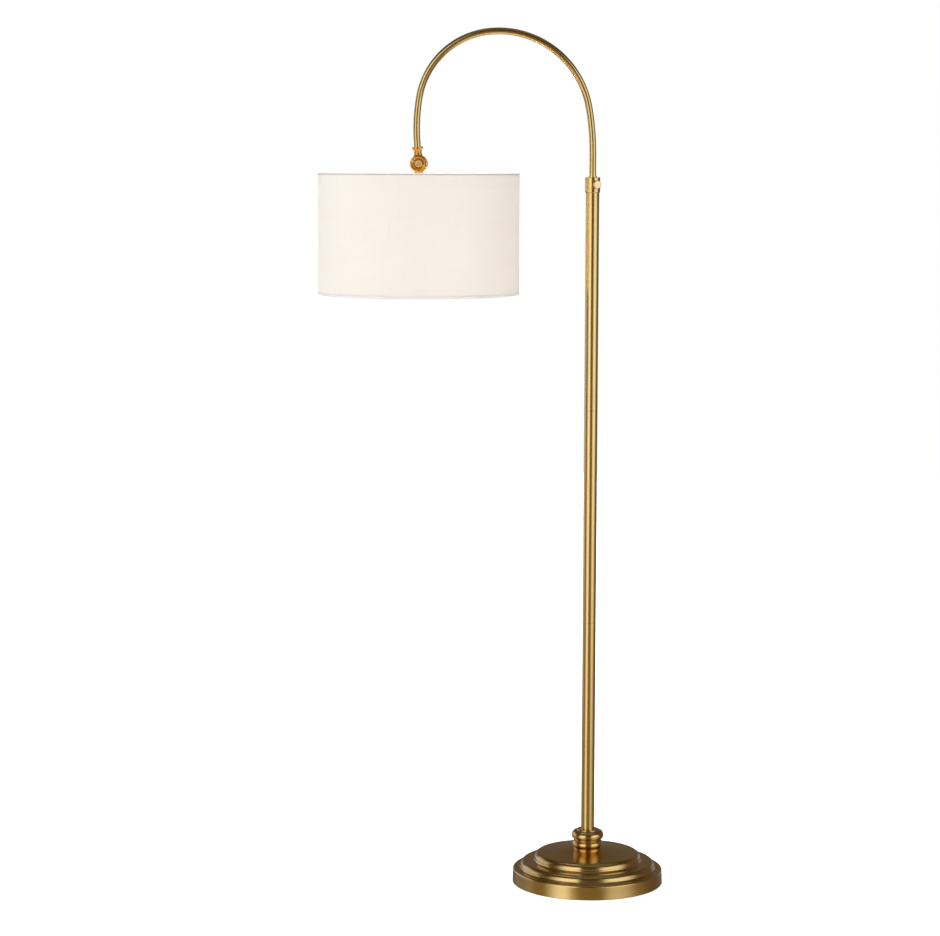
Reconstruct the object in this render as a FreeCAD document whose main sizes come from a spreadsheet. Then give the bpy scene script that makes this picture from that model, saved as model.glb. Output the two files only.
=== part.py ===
"""Arc floor lamp: a weighted base, a three-piece pole, a sliding arc arm and a tilting drum shade.

Millimetres, +Z up. The origin is on the floor, under the pole's axis. The arm lies in the XZ
plane and carries the shade towards -X. Heights are above the floor unless a name says rise,
reach, drop or depth, which count from the piece that carries them.
"""

import FreeCAD, Part

import math
import os
import re

import Sketcher

Vector = FreeCAD.Vector
Rotation = FreeCAD.Rotation
Placement = FreeCAD.Placement

# Driving sizes, in millimetres and degrees. Each one becomes an aliased cell of the sheet.
SIZES = {
    # General fits
    "running_gap": 0.05,
    "assembly_gap": 0.2,
    "face_gap": 0.02,
    # Floor pad, bottom plate and ballast
    "pad_inset": 5.5,
    "pad_thickness": 2.0,
    "plate_inset": 4.5,
    "plate_thickness": 1.2,
    "ballast_inset": 6.5,
    "ballast_thickness": 17.0,
    "ballast_boss_radius": 22.0,
    "nut_recess_radius": 15.0,
    "nut_recess_depth": 11.0,
    "lead_channel_width": 9.0,
    "lead_channel_depth": 9.0,
    "plate_screw_radius": 2.0,
    "plate_screw_head_radius": 4.0,
    "plate_screw_length": 9.0,
    "plate_screw_circle": 90.0,
    "plate_screw_count": 3,
    # Spun base cover
    "cover_wall": 1.0,
    "cover_foot": 0.8,
    "band_foot_radius": 144.5,
    "band_draft": 0.4,
    "band_top": 28.0,
    "band_round": 3.6,
    "tier_cove": 4.0,
    "lower_tier_step": 14.6,
    "lower_tier_foot": 32.4,
    "lower_tier_roll": 9.3,
    "upper_tier_step": 27.0,
    "upper_tier_cove_foot": 42.1,
    "upper_tier_foot": 47.5,
    "upper_tier_roll": 10.5,
    "neck_seat": 69.0,
    "neck_seat_radius": 27.5,
    "crown_cove": 600.0,
    # Turned neck
    "neck_foot_radius": 23.6,
    "neck_foot_round": 6.9,
    "neck_waist_radius": 25.2,
    "neck_waist_rise": 13.0,
    "neck_waist_height": 1.2,
    "neck_bead_round": 9.65,
    "neck_shoulder_radius": 23.0,
    "neck_shoulder_rise": 32.6,
    "neck_cup_radius": 20.8,
    "neck_cup_rise": 34.6,
    "neck_cup_lip": 1.2,
    "neck_dish_depth": 0.5,
    "neck_dish_round": 14.0,
    "neck_socket_depth": 4.2,
    # Hollow threaded rod that clamps the base together
    "rod_radius": 6.5,
    "rod_bore_radius": 4.6,
    "rod_bottom": 6.0,
    "rod_reach_in_pole": 26.0,
    "washer_radius": 13.0,
    "washer_thickness": 1.6,
    "base_nut_flats": 19.0,
    "base_nut_height": 6.0,
    # Cord inlet
    "inlet_height": 11.0,
    "grommet_bore_radius": 3.4,
    "grommet_neck_radius": 5.2,
    "grommet_flange_radius": 7.4,
    "grommet_flange_thickness": 1.8,
    "grommet_neck_length": 2.6,
    # Pole
    "pole_radius": 12.7,
    "pole_wall": 1.2,
    "pole_end_chamfer": 0.35,
    "pole_section_length": 408.5,
    "pole_top_length": 412.5,
    "joint_stud_radius": 8.5,
    "joint_bore_radius": 6.0,
    "joint_insert_depth": 18.0,
    "joint_stud_reach": 15.0,
    # Collar and its bush
    "collar_radius": 14.3,
    "collar_height": 28.6,
    "collar_chamfer": 1.2,
    "collar_spigot_depth": 22.0,
    "bush_flange_radius": 7.9,
    "bush_flange_thickness": 2.8,
    "bush_wall": 0.9,
    "bush_depth": 9.0,
    # Lock screw, its pad and its knob
    "lock_rise": 15.0,
    "lock_azimuth": 25.0,
    "lock_screw_radius": 2.5,
    "lock_pad_length": 2.0,
    "lock_pad_radius": 2.2,
    "lock_knob_radius": 7.8,
    "lock_knob_thickness": 4.2,
    "lock_hub_radius": 4.0,
    "lock_hub_length": 3.2,
    "lock_hub_gap": 0.6,
    # Arc arm
    "arm_radius": 6.35,
    "arm_wall": 1.0,
    "arm_insertion": 328.2,
    "arm_straight_above_pole": 71.1,
    "arc_one_radius": 498.7,
    "arc_one_turn": 10.1,
    "arc_two_radius": 173.2,
    "arc_two_turn": 87.1,
    "arc_three_radius": 148.4,
    "arc_three_turn": 73.1,
    "arc_four_radius": 351.1,
    "arc_four_turn": 14.4,
    "arm_tip_length": 10.0,
    "knuckle_reach": 26.9,
    "guide_length": 16.0,
    "guide_foot": 4.0,
    "guide_clip_radius": 8.2,
    "guide_clip_thickness": 1.2,
    "lead_radius": 2.8,
    # Knuckle
    "knuckle_radius": 16.5,
    "knuckle_half_thickness": 9.0,
    "knuckle_round": 2.6,
    "knuckle_dish_radius": 12.4,
    "knuckle_dish_depth": 1.4,
    "knuckle_dish_round": 5.0,
    "knuckle_stem_radius": 8.0,
    "knuckle_swing_gap": 0.7,
    "friction_washer_radius": 11.0,
    "friction_washer_thickness": 0.8,
    "spool_waist_radius": 7.35,
    "spool_groove_radius": 6.9,
    "spool_ring_height": 1.7,
    "spool_groove_height": 0.9,
    "spool_lip_radius": 10.6,
    "spool_lip_thickness": 2.8,
    "spool_flare_round": 9.5,
    "spool_length": 14.4,
    "wire_passage_radius": 3.4,
    # Knuckle key
    "key_screw_radius": 3.0,
    "key_screw_end": 7.5,
    "key_washer_radius": 7.6,
    "key_washer_thickness": 0.8,
    "key_hub_radius": 6.6,
    "key_hub_length": 4.5,
    "key_blade_length": 33.0,
    "key_blade_offset": 2.2,
    "key_blade_width": 12.0,
    "key_blade_thickness": 2.0,
    "key_blade_corner": 3.0,
    "key_blade_slope": 25.0,
    # Drum shade
    "shade_radius": 190.5,
    "shade_height": 228.6,
    "shade_drop": 17.2,
    "fabric_thickness": 0.8,
    "liner_thickness": 0.8,
    "wire_radius": 1.5,
    "hem_thickness": 0.4,
    "hem_height": 3.0,
    "hem_return": 1.6,
    "spider_drop": 24.0,
    "spider_hub_radius": 14.0,
    "spider_hub_thickness": 2.0,
    "spider_arm_count": 3,
    "spider_arm_drop": 3.45,
    # Threaded stem, its nut and the lamp socket
    "stem_radius": 5.0,
    "stem_bore_radius": 3.5,
    "stem_end_drop": 40.0,
    "stem_nut_flats": 16.0,
    "stem_nut_height": 4.0,
    "socket_cap_radius": 19.5,
    "socket_cap_height": 20.0,
    "socket_cap_round": 12.0,
    "socket_shell_radius": 19.0,
    "socket_wall": 0.7,
    "socket_shell_height": 42.0,
    "socket_sleeve_thickness": 0.8,
    "socket_core_radius": 16.0,
    "socket_core_height": 15.0,
    "socket_core_drop": 14.0,
    "screw_shell_radius": 13.9,
    "screw_shell_wall": 0.4,
    "screw_shell_height": 24.0,
    "contact_radius": 4.0,
    "contact_height": 1.6,
    # Bulb
    "bulb_cap_radius": 13.2,
    "bulb_cap_height": 23.0,
    "bulb_neck_radius": 14.5,
    "bulb_radius": 30.0,
    "bulb_length": 82.0,
    "bulb_glass": 0.9,
    "bulb_neck_round": 60.0,
    "bulb_mount_radius": 5.0,
    "bulb_mount_height": 30.0,
    # Turn-knob switch on the socket
    "switch_shaft_radius": 1.8,
    "switch_knob_radius": 4.5,
    "switch_knob_length": 9.0,
    "switch_knob_gap": 3.0,
    "switch_drop": 6.5,
}

# Places worked out from the sizes, in the order in which they build on each other.
PLACES = {
    # Base stack
    "plate_top": "pad_thickness + plate_thickness",
    "ballast_top": "plate_top + ballast_thickness",
    "pad_radius": "band_foot_radius - pad_inset",
    "plate_radius": "band_foot_radius - plate_inset",
    "ballast_radius": "band_foot_radius - ballast_inset",
    "band_top_radius": "band_foot_radius - band_draft",
    "lower_tier_radius": "band_top_radius - lower_tier_step",
    "upper_tier_radius": "lower_tier_radius - upper_tier_step",
    "rod_clearance_radius": "rod_radius + assembly_gap",
    "nut_recess_top": "plate_top + nut_recess_depth",
    # Pole stack
    "pole_bore_radius": "pole_radius - pole_wall",
    "neck_top": "neck_seat + neck_cup_rise",
    "pole_foot": "neck_top - neck_dish_depth - neck_socket_depth",
    "lower_joint": "pole_foot + pole_section_length",
    "upper_joint": "lower_joint + pole_section_length",
    "pole_top": "upper_joint + pole_top_length",
    "collar_top": "pole_top + collar_height",
    "lock_height": "pole_top + lock_rise",
    "arm_passage_radius": "arm_radius + running_gap",
    "bush_radius": "arm_passage_radius + bush_wall",
    "lock_hub_start": "collar_radius + lock_hub_gap",
    # Arm: turns add up from straight up, towards -X
    "arm_foot": "pole_top - arm_insertion",
    "arc_start": "pole_top + arm_straight_above_pole",
    "turn_one": "arc_one_turn",
    "turn_two": "turn_one + arc_two_turn",
    "turn_three": "turn_two + arc_three_turn",
    "turn_four": "turn_three + arc_four_turn",
    "arc_end_x": "-arc_one_radius * (1 - cos(turn_one))"
                 " - arc_two_radius * (cos(turn_one) - cos(turn_two))"
                 " - arc_three_radius * (cos(turn_two) - cos(turn_three))"
                 " - arc_four_radius * (cos(turn_three) - cos(turn_four))",
    "arc_end_z": "arc_start + arc_one_radius * sin(turn_one)"
                 " + arc_two_radius * (sin(turn_two) - sin(turn_one))"
                 " + arc_three_radius * (sin(turn_three) - sin(turn_two))"
                 " + arc_four_radius * (sin(turn_four) - sin(turn_three))",
    "tip_to_pivot": "arm_tip_length + knuckle_reach",
    "pivot_x": "arc_end_x - tip_to_pivot * sin(turn_four)",
    "pivot_z": "arc_end_z + tip_to_pivot * cos(turn_four)",
    "arm_lean": "turn_four - 180",
    # Knuckle, measured from its pivot
    "half_washer": "friction_washer_thickness / 2",
    "knuckle_face": "half_washer + knuckle_half_thickness",
    "knuckle_dish_floor": "knuckle_face - knuckle_dish_depth",
    "spool_foot": "knuckle_radius + knuckle_swing_gap",
    "spool_top": "spool_foot + spool_length",
    "key_washer_face": "knuckle_dish_floor + face_gap + key_washer_thickness",
    "key_hub_face": "key_washer_face + key_hub_length",
    "key_seat": "key_hub_face - key_hub_length / 4",
    # Shade head
    "shade_top": "pivot_z - shade_drop",
    "shade_bottom": "shade_top - shade_height",
    "shade_inner_radius": "shade_radius - fabric_thickness - liner_thickness",
    "ring_radius": "shade_inner_radius - wire_radius",
    "spider_top": "pivot_z - spider_drop",
    "socket_top": "spider_top - spider_hub_thickness - stem_nut_height",
    "socket_cap_foot": "socket_top - socket_cap_height",
    "socket_foot": "socket_cap_foot - socket_shell_height",
    "sleeve_radius": "socket_shell_radius - socket_wall",
    "sleeve_bore_radius": "sleeve_radius - socket_sleeve_thickness",
    "core_foot": "socket_cap_foot - socket_core_drop",
    "screw_shell_foot": "core_foot - screw_shell_height",
    "contact_foot": "core_foot - contact_height",
    "bulb_top": "contact_foot - face_gap",
    "bulb_neck": "bulb_top - bulb_cap_height",
    "bulb_centre": "bulb_neck - bulb_length + bulb_radius",
    "switch_height": "socket_cap_foot - switch_drop",
}

document = FreeCAD.newDocument("arc_floor_lamp")


def make_sheet():
    """Write the driving sizes to the sheet, one aliased cell each."""
    sheet = document.addObject("Spreadsheet::Sheet", "sizes")
    for row, (name, value) in enumerate(SIZES.items(), start=1):
        sheet.set(f"A{row}", name)
        sheet.set(f"B{row}", str(value))
        sheet.setAlias(f"B{row}", name)
    document.recompute()
    return sheet


def bound(text):
    """Turn an expression over bare names into one that names the sheet or the places."""
    def owner(match):
        name = match.group(0)
        if name in SIZES:
            return f"sizes.{name}"
        if name in PLACES:
            return f"places.{name}"
        return name
    return re.sub(r"[a-z_]+", owner, text)


def make_places():
    """Work out the places, each as a property that follows the sheet."""
    places = document.addObject("App::VarSet", "places")
    for name, text in PLACES.items():
        places.addProperty("App::PropertyFloat", name)
        places.setExpression(name, bound(text))
    document.recompute()
    return places


def make_gauge():
    """Make the object that reads what an expression comes to."""
    gauge = document.addObject("App::VarSet", "gauge")
    gauge.addProperty("App::PropertyFloat", "reading")
    return gauge


make_sheet()
make_places()
gauge = make_gauge()
pieces = []


def size(text):
    """Return the number that an expression over the sizes and places comes to."""
    gauge.setExpression("reading", bound(text))
    gauge.recompute()
    return gauge.reading


def bind(target, path, text):
    """Bind one property of a document object to an expression over bare names."""
    target.setExpression(path, bound(text))


def keep(piece, label):
    """Name a finished piece and list it for export."""
    piece.Label = label
    pieces.append(piece)
    return piece


def origin_plane(body, role):
    """Return one of a body's own origin planes."""
    return next(plane for plane in body.Origin.OriginFeatures if plane.Role == role)


def add_sketch(body, name, role):
    """Attach an empty sketch to one of a body's origin planes."""
    sketch = body.newObject("Sketcher::SketchObject", name)
    sketch.AttachmentSupport = [(origin_plane(body, role), "")]
    sketch.MapMode = "FlatFace"
    return sketch


def fix_coordinate(sketch, kind, axis, geometry, end, text):
    """Fix one coordinate of a sketch point: on the axis when it is 0, else at an expression."""
    if text == "0":
        sketch.addConstraint(Sketcher.Constraint("PointOnObject", geometry, end, axis))
        return
    value = size(text)
    if value < 0:
        rule = Sketcher.Constraint(kind, geometry, end, -1, 1, -value)
        text = f"-({text})"
    else:
        rule = Sketcher.Constraint(kind, -1, 1, geometry, end, value)
    index = sketch.addConstraint(rule)
    bind(sketch, f"Constraints[{index}]", text)


def arc_between(start, end, radius, turn):
    """Return the arc from start to end; turn is 1 counter-clockwise and -1 clockwise."""
    chord = end - start
    half = chord.Length / 2
    left = Vector(-chord.y, chord.x, 0).normalize()
    centre = (start + end) / 2 + left * turn * math.sqrt(radius * radius - half * half)
    first, last = (start, end) if turn > 0 else (end, start)
    circle = Part.Circle(centre, Vector(0, 0, 1), radius)
    first_angle = math.atan2(first.y - centre.y, first.x - centre.x)
    last_angle = math.atan2(last.y - centre.y, last.x - centre.x)
    return Part.ArcOfCircle(circle, first_angle, last_angle)


def draw_outline(sketch, outline):
    """Draw a closed outline whose corners, and arcs, are bound to expressions.

    A corner is (radius, height). Where an arc leaves the corner, two more values give the arc's
    radius and its turn.
    """
    corners = [Vector(size(corner[0]), size(corner[1]), 0) for corner in outline]
    starts, ends = [], []
    for index, corner in enumerate(outline):
        start, end = corners[index], corners[(index + 1) % len(corners)]
        if len(corner) == 2:
            sketch.addGeometry(Part.LineSegment(start, end))
            starts.append(1)
            ends.append(2)
            continue
        turn = corner[3]
        sketch.addGeometry(arc_between(start, end, size(corner[2]), turn))
        starts.append(1 if turn > 0 else 2)
        ends.append(2 if turn > 0 else 1)
    for index, corner in enumerate(outline):
        before = index - 1 if index else len(outline) - 1
        joined = Sketcher.Constraint("Coincident", before, ends[before], index, starts[index])
        sketch.addConstraint(joined)
        fix_coordinate(sketch, "DistanceX", -2, index, starts[index], corner[0])
        fix_coordinate(sketch, "DistanceY", -1, index, starts[index], corner[1])
        if len(corner) > 2:
            rule = Sketcher.Constraint("Radius", index, size(corner[2]))
            bind(sketch, f"Constraints[{sketch.addConstraint(rule)}]", corner[2])


def turned(name, outline):
    """Make a body by revolving an outline about its own upright axis."""
    body = document.addObject("PartDesign::Body", name)
    sketch = add_sketch(body, f"{name}_outline", "XZ_Plane")
    draw_outline(sketch, outline)
    revolution = body.newObject("PartDesign::Revolution", f"{name}_turning")
    revolution.Profile = sketch
    revolution.ReferenceAxis = (sketch, ["V_Axis"])
    revolution.Angle = 360
    document.recompute()
    return body


def tube_outline(inner, outer, bottom, top):
    """Return the outline of a plain ring or tube."""
    return [(inner, bottom), (outer, bottom), (outer, top), (inner, top)]


def cylinder(name, radius, length):
    """Make a bare cylinder, upright on its own origin."""
    shape = document.addObject("Part::Cylinder", name)
    bind(shape, "Radius", radius)
    bind(shape, "Height", length)
    return shape


def prism(name, flats, height):
    """Make a bare hexagonal prism of a size across its flats."""
    shape = document.addObject("Part::Prism", name)
    shape.Polygon = 6
    bind(shape, "Circumradius", f"{flats} / 2 / cos(30)")
    bind(shape, "Height", height)
    return shape


def cut(name, base, tool):
    """Cut one object from another."""
    result = document.addObject("Part::Cut", name)
    result.Base = base
    result.Tool = tool
    document.recompute()
    return result


def fuse(name, members):
    """Fuse a list of objects."""
    result = document.addObject("Part::MultiFuse", name)
    result.Shapes = members
    document.recompute()
    return result


def raise_to(piece, height):
    """Lift a piece along Z to an expression's height."""
    bind(piece, "Placement.Base.z", height)
    return piece


def hang(piece):
    """Put a piece that was drawn at its own height on the shade's axis."""
    bind(piece, "Placement.Base.x", "pivot_x")
    return piece


def lay_on_pivot(piece, side):
    """Lay a piece's own axis along the knuckle's pin: side -1 is the front, 1 the back."""
    piece.Placement = Placement(Vector(), Rotation(Vector(1, 0, 0), -90 * side))
    bind(piece, "Placement.Base.x", "pivot_x")
    bind(piece, "Placement.Base.z", "pivot_z")
    return piece


def lay_on_lock(piece):
    """Lay a piece's own axis along the lock screw, pointing out of the collar."""
    piece.Placement = Placement(Vector(), Rotation(size("lock_azimuth"), 0, 90))
    bind(piece, "Placement.Base.z", "lock_height")
    return piece


# ---------------------------------------------------------------- base

def make_floor_pad():
    """The soft disc that the lamp stands on."""
    pad = turned("pad", tube_outline("0", "pad_radius", "0", "pad_thickness"))
    keep(pad, "floor_pad")


def plate_screw_places():
    """Return the places of the plate's screws, clear of the rear lead channel."""
    count = int(size("plate_screw_count"))
    ring = size("plate_screw_circle")
    angles = [math.radians(-90 + 360 * index / count) for index in range(count)]
    return [Vector(ring * math.cos(angle), ring * math.sin(angle), 0) for angle in angles]


def plate_screw_shape(growth):
    """Return one countersunk screw, head down on the plate's underside, grown all round."""
    shank = size("plate_screw_radius") + growth
    head = size("plate_screw_head_radius") + growth
    depth = head - shank
    foot = size("pad_thickness")
    cone = Part.makeCone(head, shank, depth, Vector(0, 0, foot))
    length = size("plate_screw_length") + growth
    return cone.fuse(Part.makeCylinder(shank, length, Vector(0, 0, foot))).removeSplitter()


def make_plate_screws():
    """Three countersunk screws that hold the bottom plate to the ballast."""
    screw = plate_screw_shape(0)
    screws = document.addObject("Part::Feature", "screws")
    screws.Shape = Part.makeCompound([screw.translated(place) for place in plate_screw_places()])
    keep(screws, "plate_screws")


def screw_hole_tool(name):
    """Return the tool that cuts the plate screws' holes with clearance."""
    hole = plate_screw_shape(size("face_gap"))
    tool = document.addObject("Part::Feature", name)
    tool.Shape = Part.makeCompound([hole.translated(place) for place in plate_screw_places()])
    return tool


def make_bottom_plate():
    """The sheet steel disc that closes the base."""
    blank = turned("plate_blank", tube_outline("0", "plate_radius", "pad_thickness", "plate_top"))
    keep(cut("plate", blank, screw_hole_tool("plate_holes")), "bottom_plate")


def make_ballast():
    """The cast-iron weight: a disc with a boss, a nut recess and a channel for the lead."""
    blank = turned("ballast_blank", [
        ("rod_clearance_radius", "nut_recess_top"),
        ("nut_recess_radius", "nut_recess_top"),
        ("nut_recess_radius", "plate_top"),
        ("ballast_radius", "plate_top"),
        ("ballast_radius", "ballast_top"),
        ("ballast_boss_radius", "ballast_top"),
        ("ballast_boss_radius", "neck_seat - cover_wall"),
        ("rod_clearance_radius", "neck_seat - cover_wall"),
    ])
    channel = document.addObject("Part::Box", "lead_channel")
    bind(channel, "Length", "lead_channel_width")
    bind(channel, "Width", "ballast_radius + assembly_gap")
    bind(channel, "Height", "lead_channel_depth + plate_top")
    bind(channel, "Placement.Base.x", "-lead_channel_width / 2")
    holed = cut("ballast_holed", blank, screw_hole_tool("ballast_holes"))
    keep(cut("ballast", holed, channel), "ballast")


def cover_outline():
    """Return the outside of the spun cover: band, two rolled tiers on coves, and a shallow crown."""
    return [
        ("0", "cover_foot"),
        ("band_foot_radius", "cover_foot"),
        ("band_top_radius", "band_top - band_round", "band_round", 1),
        ("band_top_radius - band_round", "band_top"),
        ("lower_tier_radius + tier_cove", "band_top", "tier_cove", -1),
        ("lower_tier_radius", "band_top + tier_cove"),
        ("lower_tier_radius", "lower_tier_foot", "lower_tier_roll", 1),
        ("lower_tier_radius - lower_tier_roll", "lower_tier_foot + lower_tier_roll"),
        ("upper_tier_radius + tier_cove", "upper_tier_cove_foot", "tier_cove", -1),
        ("upper_tier_radius", "upper_tier_cove_foot + tier_cove"),
        ("upper_tier_radius", "upper_tier_foot", "upper_tier_roll", 1),
        ("upper_tier_radius - upper_tier_roll", "upper_tier_foot + upper_tier_roll", "crown_cove", -1),
        ("neck_seat_radius", "neck_seat"),
        ("0", "neck_seat"),
    ]


def make_base_cover():
    """The spun cover, an even shell open underneath, bored for the rod and the cord inlet."""
    body = turned("cover_shell", cover_outline())
    solid = body.Tip
    foot = min(range(len(solid.Shape.Faces)), key=lambda index: solid.Shape.Faces[index].BoundBox.ZMax)
    shell = body.newObject("PartDesign::Thickness", "cover_hollow")
    shell.Base = (solid, [f"Face{foot + 1}"])
    bind(shell, "Value", "cover_wall")
    shell.Reversed = True
    shell.Join = 0
    document.recompute()
    rod_hole = cylinder("cover_rod_hole", "rod_clearance_radius", "neck_seat + cover_wall")
    inlet = cylinder("cover_inlet_hole", "grommet_neck_radius", "band_foot_radius + cover_wall")
    inlet.Placement = Placement(Vector(), Rotation(Vector(1, 0, 0), -90))
    raise_to(inlet, "inlet_height")
    keep(cut("cover", cut("cover_bored", body, rod_hole), inlet), "base_cover")


def make_neck():
    """The turned neck between the cover and the pole."""
    keep(turned("neck", [
        ("rod_clearance_radius", "neck_seat"),
        ("neck_foot_radius", "neck_seat", "neck_foot_round", 1),
        ("neck_waist_radius", "neck_seat + neck_waist_rise"),
        ("neck_waist_radius", "neck_seat + neck_waist_rise + neck_waist_height", "neck_bead_round", 1),
        ("neck_shoulder_radius", "neck_seat + neck_shoulder_rise"),
        ("neck_cup_radius", "neck_seat + neck_shoulder_rise"),
        ("neck_cup_radius", "neck_top - neck_cup_lip", "neck_cup_lip", 1),
        ("neck_cup_radius - neck_cup_lip", "neck_top", "neck_dish_round", 1),
        ("pole_radius + face_gap", "neck_top - neck_dish_depth"),
        ("pole_radius + face_gap", "pole_foot"),
        ("rod_clearance_radius", "pole_foot"),
    ]), "base_neck")


def make_rod():
    """The hollow threaded rod that runs from the ballast's recess into the pole."""
    keep(turned("rod", tube_outline(
        "rod_bore_radius", "rod_radius", "rod_bottom", "pole_foot + rod_reach_in_pole")), "base_rod")


def make_base_fasteners():
    """The washer and nut under the ballast."""
    washer_foot = "nut_recess_top - washer_thickness"
    keep(turned("washer", tube_outline(
        "rod_radius + face_gap", "washer_radius", washer_foot, "nut_recess_top")), "base_washer")
    blank = prism("nut_blank", "base_nut_flats", "base_nut_height")
    raise_to(blank, f"{washer_foot} - base_nut_height")
    bore = cylinder("nut_bore", "rod_radius", "nut_recess_top")
    keep(cut("nut", blank, bore), "base_nut")


def make_grommet():
    """The snap-in grommet of the cord inlet, at the back of the band."""
    grommet = turned("grommet", [
        ("grommet_bore_radius", "0"),
        ("grommet_flange_radius", "0"),
        ("grommet_flange_radius", "grommet_flange_thickness"),
        ("grommet_neck_radius - face_gap", "grommet_flange_thickness"),
        ("grommet_neck_radius - face_gap", "grommet_flange_thickness + grommet_neck_length"),
        ("grommet_flange_radius", "grommet_flange_thickness + grommet_neck_length"),
        ("grommet_flange_radius", "2 * grommet_flange_thickness + grommet_neck_length"),
        ("grommet_bore_radius", "2 * grommet_flange_thickness + grommet_neck_length"),
    ])
    grommet.Placement = Placement(Vector(), Rotation(Vector(1, 0, 0), -90))
    bind(grommet, "Placement.Base.y", "band_foot_radius - grommet_flange_thickness - grommet_neck_length")
    raise_to(grommet, "inlet_height")
    keep(grommet, "cord_grommet")


# ---------------------------------------------------------------- pole

def make_pole():
    """The three pole tubes, end to end, each with a small chamfer at its ends."""
    ends = ["pole_foot", "lower_joint", "upper_joint", "pole_top"]
    for name, foot, top in zip(["pole_lower", "pole_middle", "pole_upper"], ends, ends[1:]):
        keep(turned(f"{name}_tube", [
            ("pole_bore_radius", foot),
            ("pole_radius - pole_end_chamfer", foot),
            ("pole_radius", f"{foot} + pole_end_chamfer"),
            ("pole_radius", f"{top} - pole_end_chamfer"),
            ("pole_radius - pole_end_chamfer", top),
            ("pole_bore_radius", top),
        ]), name)


def make_pole_joints():
    """At each end below the collar: a bored insert, and above a joint the stud that screws in."""
    keep(turned("foot_insert", tube_outline(
        "rod_radius", "pole_bore_radius", "pole_foot",
        "pole_foot + joint_insert_depth")), "pole_foot_insert")
    for name, joint in (("lower", "lower_joint"), ("upper", "upper_joint")):
        keep(turned(f"{name}_socket", tube_outline(
            "joint_stud_radius", "pole_bore_radius",
            f"{joint} - joint_insert_depth", joint)), f"{name}_joint_socket")
        keep(turned(f"{name}_stud", [
            ("joint_bore_radius", f"{joint} - joint_stud_reach"),
            ("joint_stud_radius", f"{joint} - joint_stud_reach"),
            ("joint_stud_radius", joint),
            ("pole_bore_radius", joint),
            ("pole_bore_radius", f"{joint} + joint_insert_depth"),
            ("joint_bore_radius", f"{joint} + joint_insert_depth"),
        ]), f"{name}_joint_stud")


def make_collar():
    """The collar on top of the pole, with its spigot, bush seat and cross hole."""
    blank = turned("collar_blank", [
        ("arm_passage_radius", "pole_top - collar_spigot_depth"),
        ("pole_bore_radius", "pole_top - collar_spigot_depth"),
        ("pole_bore_radius", "pole_top"),
        ("collar_radius - collar_chamfer", "pole_top"),
        ("collar_radius", "pole_top + collar_chamfer"),
        ("collar_radius", "collar_top - collar_chamfer / 2"),
        ("collar_radius - collar_chamfer / 2", "collar_top"),
        ("bush_radius", "collar_top"),
        ("bush_radius", "collar_top - bush_depth"),
        ("arm_passage_radius", "collar_top - bush_depth"),
    ])
    hole = cylinder("collar_lock_hole", "lock_screw_radius + running_gap", "collar_radius * 2")
    keep(cut("collar", blank, lay_on_lock(hole)), "pole_collar")


def make_collar_bush():
    """The flanged bush that guides the arm at the collar's mouth."""
    keep(turned("bush", [
        ("arm_passage_radius", "collar_top - bush_depth"),
        ("bush_radius", "collar_top - bush_depth"),
        ("bush_radius", "collar_top"),
        ("bush_flange_radius", "collar_top"),
        ("bush_flange_radius", "collar_top + bush_flange_thickness"),
        ("arm_passage_radius", "collar_top + bush_flange_thickness"),
    ]), "collar_bush")


def make_lock():
    """The pressure pad, the lock screw and its disc knob, all along the lock's axis."""
    pad_tip = "arm_radius + running_gap"
    pad_back = f"{pad_tip} + lock_pad_length"
    pad = turned("pressure_pad", tube_outline("0", "lock_pad_radius", pad_tip, pad_back))
    keep(lay_on_lock(pad), "lock_pad")
    hub_end = "lock_hub_start + lock_hub_length"
    knob_face = f"{hub_end} + lock_knob_thickness"
    screw = turned("thumb_screw", tube_outline(
        "0", "lock_screw_radius", f"{pad_back} + face_gap", f"{hub_end} + lock_knob_thickness / 2"))
    keep(lay_on_lock(screw), "lock_screw")
    knob = turned("thumb_knob", [
        ("lock_screw_radius", "lock_hub_start"),
        ("lock_hub_radius", "lock_hub_start"),
        ("lock_hub_radius", hub_end),
        ("lock_knob_radius - collar_chamfer / 2", hub_end),
        ("lock_knob_radius", f"{hub_end} + collar_chamfer / 2"),
        ("lock_knob_radius", f"{knob_face} - collar_chamfer", "collar_chamfer", 1),
        ("lock_knob_radius - collar_chamfer", knob_face),
        ("0", knob_face),
        ("0", f"{hub_end} + lock_knob_thickness / 2"),
        ("lock_screw_radius", f"{hub_end} + lock_knob_thickness / 2"),
    ])
    keep(lay_on_lock(knob), "lock_knob")


# ---------------------------------------------------------------- arm

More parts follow.
